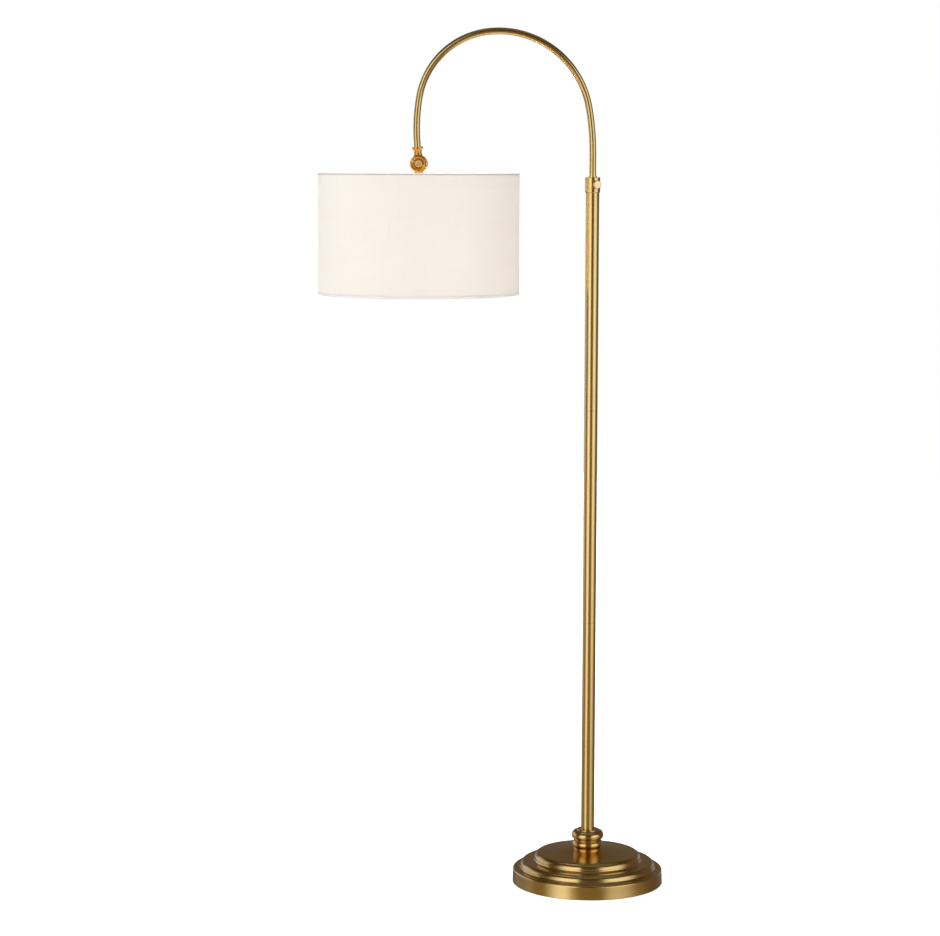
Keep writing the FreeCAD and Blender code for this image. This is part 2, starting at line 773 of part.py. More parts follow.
def arm_route(sketch):
    """Draw the arm's centre line: a straight, four arcs that bend one way, and a straight tip."""
    foot = Vector(0, size("arm_foot"), 0)
    start = Vector(0, size("arc_start"), 0)
    sketch.addGeometry(Part.LineSegment(foot, start))
    fix_coordinate(sketch, "DistanceX", -2, 0, 1, "0")
    fix_coordinate(sketch, "DistanceY", -1, 0, 1, "arm_foot")
    sketch.addConstraint(Sketcher.Constraint("Vertical", 0))
    fix_coordinate(sketch, "DistanceY", -1, 0, 2, "arc_start")
    turn = 0.0
    for index, name in enumerate(["arc_one", "arc_two", "arc_three", "arc_four"], start=1):
        radius = size(f"{name}_radius")
        sweep = math.radians(size(f"{name}_turn"))
        centre = start - Vector(math.cos(turn), math.sin(turn), 0) * radius
        circle = Part.Circle(centre, Vector(0, 0, 1), radius)
        sketch.addGeometry(Part.ArcOfCircle(circle, turn, turn + sweep))
        sketch.addConstraint(Sketcher.Constraint("Tangent", index - 1, 2, index, 1))
        rule = sketch.addConstraint(Sketcher.Constraint("Radius", index, radius))
        bind(sketch, f"Constraints[{rule}]", f"{name}_radius")
        rule = sketch.addConstraint(Sketcher.Constraint("Angle", index, sweep))
        bind(sketch, f"Constraints[{rule}]", f"{name}_turn * 1deg")
        turn += sweep
        start = centre + Vector(math.cos(turn), math.sin(turn), 0) * radius
    length = size("arm_tip_length")
    tip = start + Vector(-math.sin(turn), math.cos(turn), 0) * length
    sketch.addGeometry(Part.LineSegment(start, tip))
    sketch.addConstraint(Sketcher.Constraint("Tangent", 4, 2, 5, 1))
    rule = sketch.addConstraint(Sketcher.Constraint("Distance", 5, length))
    bind(sketch, f"Constraints[{rule}]", "arm_tip_length")


def along_arm(name, radii):
    """Sweep one or two circles along the arm's centre line."""
    body = document.addObject("PartDesign::Body", name)
    route = add_sketch(body, f"{name}_route", "XZ_Plane")
    arm_route(route)
    section = add_sketch(body, f"{name}_section", "XY_Plane")
    bind(section, "AttachmentOffset.Base.z", "arm_foot")
    for index, radius in enumerate(radii):
        section.addGeometry(Part.Circle(Vector(), Vector(0, 0, 1), size(radius)))
        section.addConstraint(Sketcher.Constraint("Coincident", index, 3, -1, 1))
        rule = section.addConstraint(Sketcher.Constraint("Radius", index, size(radius)))
        bind(section, f"Constraints[{rule}]", radius)
    pipe = body.newObject("PartDesign::AdditivePipe", f"{name}_pipe")
    pipe.Profile = section
    pipe.Spine = (route, [f"Edge{index + 1}" for index in range(6)])
    document.recompute()
    return body


def make_arm():
    """The bent arm tube and the lead inside it."""
    keep(along_arm("arm", ["arm_radius", "arm_radius - arm_wall"]), "arm_tube")
    keep(along_arm("arm_cable", ["lead_radius"]), "arm_lead")


def make_arm_guide():
    """The guide bush on the arm's foot, and the clip below it that the arm carries."""
    foot = "arm_foot + guide_foot"
    keep(turned("guide", tube_outline(
        "arm_passage_radius", "pole_bore_radius - running_gap", foot, f"{foot} + guide_length")),
        "arm_guide_bush")
    keep(turned("clip", tube_outline(
        "arm_radius", "guide_clip_radius", f"{foot} - face_gap - guide_clip_thickness",
        f"{foot} - face_gap")), "guide_clip")


def make_pole_lead():
    """The lead in the pole, from the rod's top up to the arm's foot; its slack pays out."""
    keep(turned("pole_cable", tube_outline(
        "0", "lead_radius", "rod_bottom", "arm_foot - face_gap")), "pole_lead")


# ---------------------------------------------------------------- knuckle

def knuckle_disc(name, side):
    """Return one disc of the knuckle, dished on its outer face."""
    return lay_on_pivot(turned(f"{name}_disc", [
        ("key_screw_radius + running_gap", "half_washer"),
        ("knuckle_radius", "half_washer"),
        ("knuckle_radius", "knuckle_face - knuckle_round", "knuckle_round", 1),
        ("knuckle_radius - knuckle_round", "knuckle_face"),
        ("knuckle_dish_radius", "knuckle_face", "knuckle_dish_round", 1),
        ("knuckle_dish_radius - 2 * knuckle_dish_depth", "knuckle_dish_floor"),
        ("key_screw_radius + running_gap", "knuckle_dish_floor"),
    ]), side)


def lap_block(name, side):
    """Return the half-round block between a disc and its stem, on that disc's side only."""
    block = cylinder(f"{name}_block", "knuckle_stem_radius", "spool_foot")
    lap = document.addObject("Part::Box", f"{name}_lap")
    bind(lap, "Length", "4 * knuckle_stem_radius")
    bind(lap, "Width", "2 * knuckle_stem_radius")
    bind(lap, "Height", "2 * spool_foot")
    bind(lap, "Placement.Base.x", "-2 * knuckle_stem_radius")
    width = "-half_washer" if side < 0 else "half_washer - 2 * knuckle_stem_radius"
    bind(lap, "Placement.Base.y", width)
    bind(lap, "Placement.Base.z", "-spool_foot / 2")
    pin = cylinder(f"{name}_pin", "key_screw_radius + running_gap", "4 * knuckle_stem_radius")
    pin.Placement = Placement(Vector(), Rotation(Vector(1, 0, 0), 90))
    bind(pin, "Placement.Base.y", "2 * knuckle_stem_radius")
    return cut(f"{name}_tied", cut(f"{name}_halved", block, lap), pin)


def lean_with_arm(piece):
    """Stand a piece on the pivot, leaning as the arm's tip does."""
    piece.Placement = Placement(Vector(), Rotation(Vector(0, 1, 0), -size("arm_lean")))
    bind(piece, "Placement.Base.x", "pivot_x")
    bind(piece, "Placement.Base.z", "pivot_z")
    return piece


def make_upper_knuckle():
    """The fixed half: a flared spool that takes the arm's tip, and the rear disc."""
    groove = "spool_foot + spool_ring_height"
    waist = f"{groove} + spool_groove_height"
    spool = turned("spool", [
        ("wire_passage_radius", "spool_foot"),
        ("knuckle_stem_radius", "spool_foot"),
        ("knuckle_stem_radius", groove),
        ("spool_groove_radius", groove),
        ("spool_groove_radius", waist),
        ("spool_waist_radius", waist, "spool_flare_round", -1),
        ("spool_lip_radius", "spool_top - spool_lip_thickness"),
        ("spool_lip_radius", "spool_top - spool_lip_thickness / 2", "spool_lip_thickness / 2", 1),
        ("spool_lip_radius - spool_lip_thickness / 2", "spool_top"),
        ("arm_radius + face_gap", "spool_top - spool_lip_thickness / 2"),
        ("arm_radius + face_gap", "knuckle_reach"),
        ("wire_passage_radius", "knuckle_reach"),
    ])
    members = [lean_with_arm(spool), lean_with_arm(lap_block("upper", 1)), knuckle_disc("rear", 1)]
    keep(fuse("upper_knuckle", members), "knuckle_upper")


def make_lower_knuckle():
    """The tilting half: the front disc and the stem that carries the shade."""
    stem = turned("stem_collar", tube_outline(
        "stem_radius", "knuckle_stem_radius", "pivot_z - spider_drop", "pivot_z - spool_foot"))
    block = lap_block("lower", -1)
    turned_block = document.addObject("Part::Mirroring", "lower_block")
    turned_block.Source = block
    turned_block.Normal = Vector(0, 0, 1)
    bind(turned_block, "Placement.Base.x", "pivot_x")
    bind(turned_block, "Placement.Base.z", "pivot_z")
    keep(fuse("lower_knuckle", [hang(stem), turned_block, knuckle_disc("front", -1)]), "knuckle_lower")


def make_friction_washer():
    """The fibre washer between the two discs."""
    washer = turned("fibre_washer", tube_outline(
        "key_screw_radius + running_gap", "friction_washer_radius",
        "-half_washer + face_gap", "half_washer - face_gap"))
    keep(lay_on_pivot(washer, -1), "friction_washer")


def make_key():
    """The knuckle's key: a washer, a pivot screw and a hub with a thin wing blade."""
    washer = turned("key_ring", tube_outline(
        "key_screw_radius + running_gap", "key_washer_radius",
        "knuckle_dish_floor + face_gap", "key_washer_face"))
    keep(lay_on_pivot(washer, -1), "key_washer")
    screw = turned("key_pin", tube_outline(
        "0", "key_screw_radius", "-key_screw_end", "key_seat"))
    keep(lay_on_pivot(screw, -1), "knuckle_screw")
    hub = turned("key_hub", [
        ("key_screw_radius", "key_washer_face + face_gap"),
        ("key_hub_radius", "key_washer_face + face_gap"),
        ("key_hub_radius", "key_hub_face - key_hub_length / 2", "key_hub_length / 2", 1),
        ("key_hub_radius - key_hub_length / 2", "key_hub_face"),
        ("0", "key_hub_face"),
        ("0", "key_seat"),
        ("key_screw_radius", "key_seat"),
    ])
    blade = document.addObject("Part::Box", "key_blade")
    bind(blade, "Length", "key_blade_length")
    bind(blade, "Width", "key_blade_thickness")
    bind(blade, "Height", "key_blade_width")
    bind(blade, "Placement.Base.x", "key_blade_offset - key_blade_length / 2")
    bind(blade, "Placement.Base.y", "-key_blade_thickness / 2")
    bind(blade, "Placement.Base.z", "key_seat")
    document.recompute()
    rounded = document.addObject("Part::Fillet", "key_blade_rounded")
    rounded.Base = blade
    radius = size("key_blade_corner")
    upright = size("key_blade_thickness")
    tall = [index + 1 for index, edge in enumerate(blade.Shape.Edges) if abs(edge.Length - upright) < 1e-6]
    rounded.Edges = [(index, radius, radius) for index in tall]
    key = fuse("wing_key", [hub, rounded])
    key.Placement = Placement(Vector(), Rotation(0, size("key_blade_slope"), 0) * Rotation(0, 0, 90))
    bind(key, "Placement.Base.x", "pivot_x")
    bind(key, "Placement.Base.z", "pivot_z")
    keep(key, "knuckle_key")


# ---------------------------------------------------------------- shade head

def make_shade_wall():
    """The drum's fabric and the liner that it is bonded to."""
    fabric = turned("fabric", tube_outline(
        "shade_radius - fabric_thickness", "shade_radius", "shade_bottom", "shade_top"))
    keep(hang(fabric), "shade_fabric")
    liner = turned("liner", tube_outline(
        "shade_inner_radius", "shade_radius - fabric_thickness", "shade_bottom", "shade_top"))
    keep(hang(liner), "shade_liner")


def hem_outline(edge, inward):
    """Return a U of tape round a shade edge and its wire; inward is the sign of the way in."""
    outer = "shade_radius"
    inner = "shade_inner_radius - 2 * wire_radius"
    lip = f"{edge} - ({inward}) * hem_thickness"
    outside = f"{edge} + ({inward}) * hem_height"
    inside = f"{edge} + ({inward}) * hem_return"
    outline = [
        (f"{inner} - hem_thickness", lip),
        (f"{outer} + hem_thickness", lip),
        (f"{outer} + hem_thickness", outside),
        (outer, outside),
        (outer, edge),
        (inner, edge),
        (inner, inside),
        (f"{inner} - hem_thickness", inside),
    ]
    return outline


def make_shade_hems():
    """The tape over the top and bottom edges."""
    keep(hang(turned("top_tape", hem_outline("shade_top", "-1"))), "shade_top_hem")
    keep(hang(turned("bottom_tape", hem_outline("shade_bottom", "1"))), "shade_bottom_hem")


def wire_ring(name, height):
    """Return a ring of round wire just inside the drum."""
    ring = document.addObject("Part::Torus", name)
    bind(ring, "Radius1", "ring_radius")
    bind(ring, "Radius2", "wire_radius")
    return raise_to(ring, height)


def make_spider():
    """The fitter: hub washer, top ring, and the three arms that are welded between them."""
    hub = hang(turned("hub", tube_outline(
        "stem_radius + running_gap", "spider_hub_radius",
        "spider_top - spider_hub_thickness", "spider_top")))
    keep(hub, "spider_hub")
    ring = hang(wire_ring("upper_wire", "shade_top - wire_radius"))
    keep(ring, "shade_top_ring")
    start = Vector(size("spider_hub_radius - wire_radius"), 0, size("spider_top - spider_hub_thickness / 2"))
    end = Vector(size("ring_radius"), 0, size("shade_top - spider_arm_drop"))
    run = end - start
    members = []
    for index in range(int(size("spider_arm_count"))):
        arm = document.addObject("Part::Cylinder", f"spider_arm_{index}")
        bind(arm, "Radius", "wire_radius")
        arm.Height = run.Length
        around = Rotation(Vector(0, 0, 1), 90 + 360 * index / size("spider_arm_count"))
        tilt = Rotation(Vector(0, 0, 1), run)
        arm.Placement = Placement(around.multVec(start), around * tilt)
        members.append(arm)
    arms = hang(fuse("arms", members))
    keep(cut("arms_welded", cut("arms_at_hub", arms, hub), ring), "spider_arms")


def make_bottom_ring():
    """The wire that keeps the drum's lower edge round."""
    keep(hang(wire_ring("lower_wire", "shade_bottom + wire_radius")), "shade_bottom_ring")


def make_stem():
    """The hollow threaded stem and the nut that clamps the spider against the knuckle."""
    stem = turned("threaded_stem", tube_outline(
        "stem_bore_radius", "stem_radius", "pivot_z - stem_end_drop", "pivot_z - spool_foot"))
    keep(hang(stem), "shade_stem")
    blank = prism("stem_nut_blank", "stem_nut_flats", "stem_nut_height")
    raise_to(blank, "socket_top")
    bore = cylinder("stem_nut_bore", "stem_radius", "pivot_z")
    keep(hang(cut("stem_lock_nut", blank, bore)), "stem_nut")


def make_socket():
    """The lamp socket: cap, shell, paper sleeve, core, screw shell and centre contact."""
    keep(hang(turned("cap", [
        ("stem_radius", "socket_top - socket_wall"),
        ("socket_cap_radius - socket_cap_round - socket_wall", "socket_top - socket_wall",
         "socket_cap_round", -1),
        ("socket_cap_radius - socket_wall", "socket_top - socket_wall - socket_cap_round"),
        ("socket_cap_radius - socket_wall", "socket_cap_foot"),
        ("socket_cap_radius", "socket_cap_foot"),
        ("socket_cap_radius", "socket_top - socket_cap_round", "socket_cap_round", 1),
        ("socket_cap_radius - socket_cap_round", "socket_top"),
        ("stem_radius", "socket_top"),
    ])), "socket_cap")
    shell = hang(turned("shell", tube_outline(
        "sleeve_radius", "socket_shell_radius", "socket_foot", "socket_cap_foot")))
    keep(cut("shell_slotted", shell, switch_hole("shell_slot")), "socket_shell")
    sleeve = hang(turned("sleeve", tube_outline(
        "sleeve_bore_radius", "sleeve_radius", "socket_foot", "socket_cap_foot")))
    keep(cut("sleeve_slotted", sleeve, switch_hole("sleeve_slot")), "socket_sleeve")
    core = hang(turned("core", tube_outline(
        "0", "socket_core_radius", "core_foot", "core_foot + socket_core_height - face_gap")))
    keep(cut("core_bored", core, switch_hole("core_slot")), "socket_core")
    keep(hang(turned("screw_shell", tube_outline(
        "screw_shell_radius - screw_shell_wall", "screw_shell_radius",
        "screw_shell_foot", "core_foot"))), "socket_screw_shell")
    keep(hang(turned("contact", tube_outline(
        "0", "contact_radius", "contact_foot", "core_foot"))), "socket_contact")


def lay_on_switch(piece):
    """Lay a piece's own axis along the switch shaft, pointing to the front."""
    piece.Placement = Placement(Vector(), Rotation(Vector(1, 0, 0), 90))
    bind(piece, "Placement.Base.x", "pivot_x")
    bind(piece, "Placement.Base.z", "switch_height")
    return piece


def switch_hole(name):
    """Return the tool that bores a running hole for the switch shaft."""
    return lay_on_switch(cylinder(name, "switch_shaft_radius + running_gap", "2 * socket_shell_radius"))


def make_switch():
    """The turn knob and its shaft, in one moulding."""
    knob_start = "socket_shell_radius + switch_knob_gap"
    knob = turned("switch", [
        ("0", "socket_core_radius / 2"),
        ("switch_shaft_radius", "socket_core_radius / 2"),
        ("switch_shaft_radius", knob_start),
        ("switch_knob_radius", knob_start),
        ("switch_knob_radius", f"{knob_start} + switch_knob_length - collar_chamfer", "collar_chamfer", 1),
        ("switch_knob_radius - collar_chamfer", f"{knob_start} + switch_knob_length"),
        ("0", f"{knob_start} + switch_knob_length"),
    ])
    keep(lay_on_switch(knob), "switch_knob")


def bulb_outline(skin):
    """Return half the bulb's outline, drawn in from the glass surface by a skin."""
    neck = f"bulb_neck_radius - {skin}"
    ball = f"bulb_radius - {skin}"
    shoulder_radius = f"({ball}) * cos(30)"
    shoulder_height = f"bulb_centre + ({ball}) * sin(30)"
    return [
        ("0", f"bulb_centre - ({ball})", ball, 1),
        (shoulder_radius, shoulder_height, "bulb_neck_round", -1),
        (neck, "bulb_neck"),
        ("0", "bulb_neck"),
    ]


def make_bulb():
    """The lamp: screw cap, hollow glass and the light mount inside it."""
    cap = turned("bulb_screw", [
        ("0", "bulb_neck"),
        ("bulb_cap_radius", "bulb_neck"),
        ("bulb_cap_radius", "bulb_top - bulb_cap_height / 4"),
        ("contact_radius", "bulb_top"),
        ("0", "bulb_top"),
    ])
    keep(hang(cap), "bulb_cap")
    outside = turned("glass_outside", bulb_outline("0"))
    inside = turned("glass_inside", bulb_outline("bulb_glass"))
    keep(hang(cut("glass", outside, inside)), "bulb_glass")
    mount = turned("light_mount", tube_outline(
        "0", "bulb_mount_radius", "bulb_neck - bulb_mount_height", "bulb_neck"))
    keep(hang(mount), "bulb_mount")


def make_socket_lead():
    """The lead from the knuckle down the stem to the socket's core."""
    lead = turned("socket_cable", tube_outline(
        "0", "lead_radius", "core_foot + socket_core_height", "pivot_z - spool_foot"))
    keep(hang(lead), "socket_lead")


def check_pieces():
    """Stop if any object failed or any piece is empty or not valid."""
    for thing in document.Objects:
        if {"Invalid", "Error"} & set(thing.State):
            raise RuntimeError(f"{thing.Name} failed: {thing.State}")
    for piece in pieces:
        shape = piece.Shape
        if shape.isNull() or not shape.isValid() or not shape.Solids:
            raise RuntimeError(f"{piece.Label} has no valid solid")


def write_pieces():
    """Write each piece to its own file, named after it."""
    os.makedirs("parts", exist_ok=True)
    for piece in pieces:
        piece.Shape.exportStep(f"parts/{piece.Label}.step")


make_floor_pad()
make_plate_screws()
make_bottom_plate()
make_ballast()
make_base_cover()
make_neck()
make_rod()
make_base_fasteners()
make_grommet()
make_pole()
make_pole_joints()
make_collar()
make_collar_bush()
make_lock()
make_arm()
make_arm_guide()
make_pole_lead()
make_upper_knuckle()
make_lower_knuckle()
make_friction_washer()
make_key()
make_shade_wall()
make_shade_hems()
make_spider()
make_bottom_ring()
make_stem()
make_socket()
make_switch()
make_bulb()
make_socket_lead()
document.recompute()
check_pieces()
write_pieces()
for piece in pieces:
    print(f"{piece.Label:24s} {piece.Shape.Volume / 1000:10.3f} cm3  solids {len(piece.Shape.Solids)}")
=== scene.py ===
"""Arc floor lamp: the finish of every part, and its woven drum shade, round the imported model."""

import logging
import math
from dataclasses import dataclass, field, replace
from enum import Enum
from typing import Callable, Optional, Sequence, Union

import bpy
import numpy as np
from mathutils import Matrix, Vector, noise


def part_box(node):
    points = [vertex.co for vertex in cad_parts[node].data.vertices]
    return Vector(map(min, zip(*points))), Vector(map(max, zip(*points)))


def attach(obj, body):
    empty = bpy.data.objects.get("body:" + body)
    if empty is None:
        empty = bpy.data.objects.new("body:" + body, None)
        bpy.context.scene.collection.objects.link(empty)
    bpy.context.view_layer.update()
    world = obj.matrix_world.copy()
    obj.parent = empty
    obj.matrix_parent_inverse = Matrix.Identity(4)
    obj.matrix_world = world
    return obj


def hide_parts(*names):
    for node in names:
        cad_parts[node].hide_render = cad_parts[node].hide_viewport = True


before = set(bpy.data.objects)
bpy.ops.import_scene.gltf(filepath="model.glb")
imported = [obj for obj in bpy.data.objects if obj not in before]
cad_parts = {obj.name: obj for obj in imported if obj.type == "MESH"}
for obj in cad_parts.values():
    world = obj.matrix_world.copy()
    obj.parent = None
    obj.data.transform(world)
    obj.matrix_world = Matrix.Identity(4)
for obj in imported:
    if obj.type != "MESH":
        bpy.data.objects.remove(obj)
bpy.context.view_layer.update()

MM = 0.001
FULL_TURN = 2 * math.pi

Colour = tuple[float, float, float]
Point = tuple[float, float, float]
Socket = bpy.types.NodeSocket
Value = Union[Socket, float]

log = logging.getLogger("arc_floor_lamp")


class Grain(Enum):
    """Which way the fine lines left by making a part run."""

    DRAWN_ALONG_Z = "drawn"
    TURNED_ABOUT_Z = "turned"
    TURNED_ABOUT_Y = "cross_turned"
    BENT_IN_ARCH = "bent"
    NONE = "none"


class Form(Enum):
    """Whether a new piece is plain or one of the soft forms, cloth or foam."""

    PLAIN = "plain"
    CLOTH = "cloth"
    FOAM = "foam"


# ----------------------------------------------------------------------------------------------
# Node boards
# ----------------------------------------------------------------------------------------------


class Board:
    """A node tree with short ways to add and join its nodes."""

    def __init__(self, tree: bpy.types.NodeTree) -> None:
        """Clears the tree and keeps it."""
        self.tree = tree
        tree.nodes.clear()

    def add(self, kind: str, **settings: object) -> bpy.types.Node:
        """Adds one node.

        Args:
            kind: The node's type name.
            **settings: Properties to set on the node.

        Returns:
            The new node.
        """
        node = self.tree.nodes.new(kind)
        for name, value in settings.items():
            setattr(node, name, value)
        return node

    def put(self, socket: Socket, value: object) -> None:
        """Gives an input its value, by a link where the value is another node's output.

        Args:
            socket: The input to fill.
            value: A number, a colour, a vector or an output socket.
        """
        if isinstance(value, bpy.types.NodeSocket):
            self.tree.links.new(value, socket)
        elif isinstance(value, tuple) and socket.type == "RGBA":
            socket.default_value = (*value, 1.0)
        else:
            socket.default_value = value

    def math(self, operation: str, first: Value, second: Value = 0.0, clamp: bool = False) -> Socket:
        """Joins two numbers by one sum.

        Args:
            operation: The name of the sum.
            first: The first number.
            second: The second number, where the sum takes one.
            clamp: Whether the result stays from 0 to 1.

        Returns:
            The result.
        """
        node = self.add("ShaderNodeMath", operation=operation, use_clamp=clamp)
        self.put(node.inputs[0], first)
        self.put(node.inputs[1], second)
        return node.outputs[0]

    def span(self, value: Value, start: Value, end: Value, low: Value = 0.0, high: Value = 1.0) -> Socket:
        """Turns a number's run from start to end into a soft step from low to high.

        Args:
            value: The number.
            start: Where the step begins.
            end: Where the step ends.
            low: The result before the step.
            high: The result after the step.

        Returns:
            The result.
        """
        node = self.add("ShaderNodeMapRange", interpolation_type="SMOOTHSTEP")
        for name, given in zip(
            ("Value", "From Min", "From Max", "To Min", "To Max"), (value, start, end, low, high)
        ):
            self.put(node.inputs[name], given)
        return node.outputs["Result"]

    def mix(self, share: Value, low: Union[Colour, Socket], high: Union[Colour, Socket]) -> Socket:
        """Mixes two colours.

        Args:
            share: How much of the second colour there is, from 0 to 1.
            low: The colour at 0.
            high: The colour at 1.

        Returns:
            The mixed colour.
        """
        node = self.add("ShaderNodeMix", data_type="RGBA")
        self.put(node.inputs[0], share)
        self.put(node.inputs[6], low)
        self.put(node.inputs[7], high)
        return node.outputs[2]

    def place(self) -> Socket:
        """Gives the place on the part, in metres, in the lamp's own frame at rest."""
        return self.add("ShaderNodeTexCoord").outputs["Object"]

    def split(self, vector: Socket) -> Sequence[Socket]:
        """Splits a vector into its three numbers."""
        node = self.add("ShaderNodeSeparateXYZ")
        self.put(node.inputs[0], vector)
        return node.outputs

    def join(self, x: Value, y: Value, z: Value) -> Socket:
        """Joins three numbers into a vector.

        Args:
            x: The first number.
            y: The second number.
            z: The third number.

        Returns:
            The vector.
        """
        node = self.add("ShaderNodeCombineXYZ")
        for socket, given in zip(node.inputs, (x, y, z)):
            self.put(socket, given)
        return node.outputs[0]

    def stretch(self, vector: Socket, scale: Point) -> Socket:
        """Multiplies a vector, number by number.

        Args:
            vector: The vector.
            scale: What each of its numbers is multiplied by.

        Returns:
            The stretched vector.
        """
        node = self.add("ShaderNodeVectorMath", operation="MULTIPLY")
        self.put(node.inputs[0], vector)
        node.inputs[1].default_value = scale
        return node.outputs[0]

    def cloud(self, vector: Socket, scale: float, detail: float = 3.0, fine: float = 0.55) -> Socket:
        """Gives soft random blotches from 0 to 1.

        Args:
            vector: The place that the blotches depend on.
            scale: How many blotches there are to a metre.
            detail: How many finer layers are added.
            fine: How strong the finer layers are.

        Returns:
            The blotches' value.
        """
        node = self.add("ShaderNodeTexNoise")
        self.put(node.inputs["Vector"], vector)
        node.inputs["Scale"].default_value = scale
        node.inputs["Detail"].default_value = detail
        node.inputs["Roughness"].default_value = fine
        return node.outputs[0]

    def relief(self, height: Socket, depth: float, below: Optional[Socket] = None) -> Socket:
        """Raises the surface's grain by a height.

        Args:
            height: The height, from 0 to 1.
            depth: What a height of 1 stands for, in metres.
            below: A coarser relief that this one is added to.

        Returns:
            The bent normal.
        """
        node = self.add("ShaderNodeBump")
        node.inputs["Distance"].default_value = depth
        self.put(node.inputs["Height"], height)
        if below is not None:
            self.put(node.inputs["Normal"], below)
        return node.outputs[0]


def turned_place(board: Board, centre: Point, axis: int) -> tuple[Socket, Socket, Socket]:
    """Gives the place as a lathe sees it.

    Args:
        board: The board to add to.
        centre: A point on the lathe's axis.
        axis: Which way the axis runs: 1 for Y and 2 for Z.

    Returns:
        The distance from the axis, the distance along it and the angle round it.
    """
    numbers = board.split(board.place())
    across = [i for i in range(3) if i != axis]
    first, second = (board.math("SUBTRACT", numbers[i], centre[i]) for i in across)
    squares = board.math("ADD", board.math("MULTIPLY", first, first), board.math("MULTIPLY", second, second))
    return board.math("SQRT", squares), numbers[axis], board.math("ARCTAN2", second, first)


# ----------------------------------------------------------------------------------------------
# Finishes
# ----------------------------------------------------------------------------------------------


@dataclass(frozen=True)
class Finish:
    """What all finishes share: a name, and a material that is made once."""

    name: str

    def lay(self, board: Board, shader: bpy.types.Node, output: bpy.types.Node) -> None:
        """Sets up the shader; each finish has its own way."""
        raise NotImplementedError

    def material(self) -> bpy.types.Material:
        """Gives this finish's material, made at the first call."""
        made = bpy.data.materials.get(f"{self.name}_finish")
        if made is not None:
            return made
        made = bpy.data.materials.new(f"{self.name}_finish")
        made.use_nodes = True
        board = Board(made.node_tree)
        shader = board.add("ShaderNodeBsdfPrincipled")
        output = board.add("ShaderNodeOutputMaterial")
        board.put(output.inputs["Surface"], shader.outputs[0])
        self.lay(board, shader, output)
        return made


@dataclass(frozen=True)
class Metal(Finish):
    """A drawn, turned or cast metal, with fine working lines, dull blotches, worn edges, and hollows darkened partly
    as patina and partly as painted shade.
    """

    bright: Colour = (0.8, 0.515, 0.135)
    dull: Colour = (0.74, 0.465, 0.115)
    hollow: Colour = (0.42, 0.23, 0.05)
    roughness: float = 0.19
    lacquer: float = 0.0
    grain: Grain = Grain.NONE
    centre: Point = (0.0, 0.0, 0.0)
    lines_per_metre: float = 1600.0
    line_depth: float = 0.8e-6
    blotch_scale: float = 14.0
    edge_share: float = 1.0
    pitting: float = 0.0
    metal_share: float = 1.0

    def lines(self, board: Board) -> Socket:
        """Gives the fine working lines, from 0 to 1.

        Args:
            board: The board to add to.

        Returns:
            The lines' height.
        """
        place = board.place()
        run = 0.012
        if self.grain is Grain.DRAWN_ALONG_Z:
            place = board.stretch(place, (1.0, 1.0, run))
        elif self.grain is Grain.TURNED_ABOUT_Z:
            radius, height, angle = turned_place(board, self.centre, 2)
            place = board.join(radius, height, board.math("MULTIPLY", angle, run / 10))
        elif self.grain is Grain.TURNED_ABOUT_Y:
            radius, depth, angle = turned_place(board, self.centre, 1)
            place = board.join(radius, depth, board.math("MULTIPLY", angle, run / 10))
        elif self.grain is Grain.BENT_IN_ARCH:
            radius, depth, angle = turned_place(board, self.centre, 1)
            place = board.join(radius, depth, board.math("MULTIPLY", angle, run / 5))
        return board.cloud(place, self.lines_per_metre, 2.0, 0.6)

    def lay(self, board: Board, shader: bpy.types.Node, output: bpy.types.Node) -> None:
        """Lays the metal's colour, roughness and relief.

        Args:
            board: The material's board.
            shader: Its shader.
            output: Its output.
        """
        place = board.place()
        lines = self.lines(board)
        blotches = board.cloud(place, self.blotch_scale, 4.0, 0.6)
        specks = board.span(board.cloud(place, 620.0, 2.0, 0.5), 0.72, 0.82)
        colour = board.mix(board.span(blotches, 0.3, 0.72), self.bright, self.dull)
        worked = board.mix(board.math("MULTIPLY", lines, 0.12), colour, self.hollow)
        ridge = board.add("ShaderNodeNewGeometry").outputs["Pointiness"]
        # Concave places take the hollow colour: partly patina, partly painted shade in recesses and grooves.
        sunk_patina_and_shade = board.span(ridge, 0.44, 0.495, 0.6 * self.edge_share, 0.0)
        worn = board.span(ridge, 0.51, 0.6, 0.0, 0.35 * self.edge_share)
        patina_and_shade_hollowed = board.mix(sunk_patina_and_shade, worked, self.hollow)
        edged = board.mix(worn, patina_and_shade_hollowed, tuple(min(1.0, 1.12 * c + 0.03) for c in self.bright))
        board.put(shader.inputs["Base Color"], board.mix(board.math("MULTIPLY", specks, 0.1), edged, self.hollow))
        shader.inputs["Metallic"].default_value = self.metal_share
        smudge = board.span(board.cloud(place, 38.0, 3.0, 0.5), 0.35, 0.75, -0.015, 0.025)
        streak = board.math("MULTIPLY_ADD", lines, 0.05)
        streak.node.inputs[2].default_value = self.roughness - 0.025
        board.put(shader.inputs["Roughness"], board.math("ADD", streak, smudge))
        surface = board.relief(lines, self.line_depth)
        if self.pitting:
            surface = board.relief(board.cloud(place, 420.0, 3.0, 0.6), self.pitting, surface)
        board.put(shader.inputs["Normal"], surface)
        shader.inputs["Coat Weight"].default_value = self.lacquer
        shader.inputs["Coat Roughness"].default_value = 0.1
        shader.inputs["Coat IOR"].default_value = 1.65


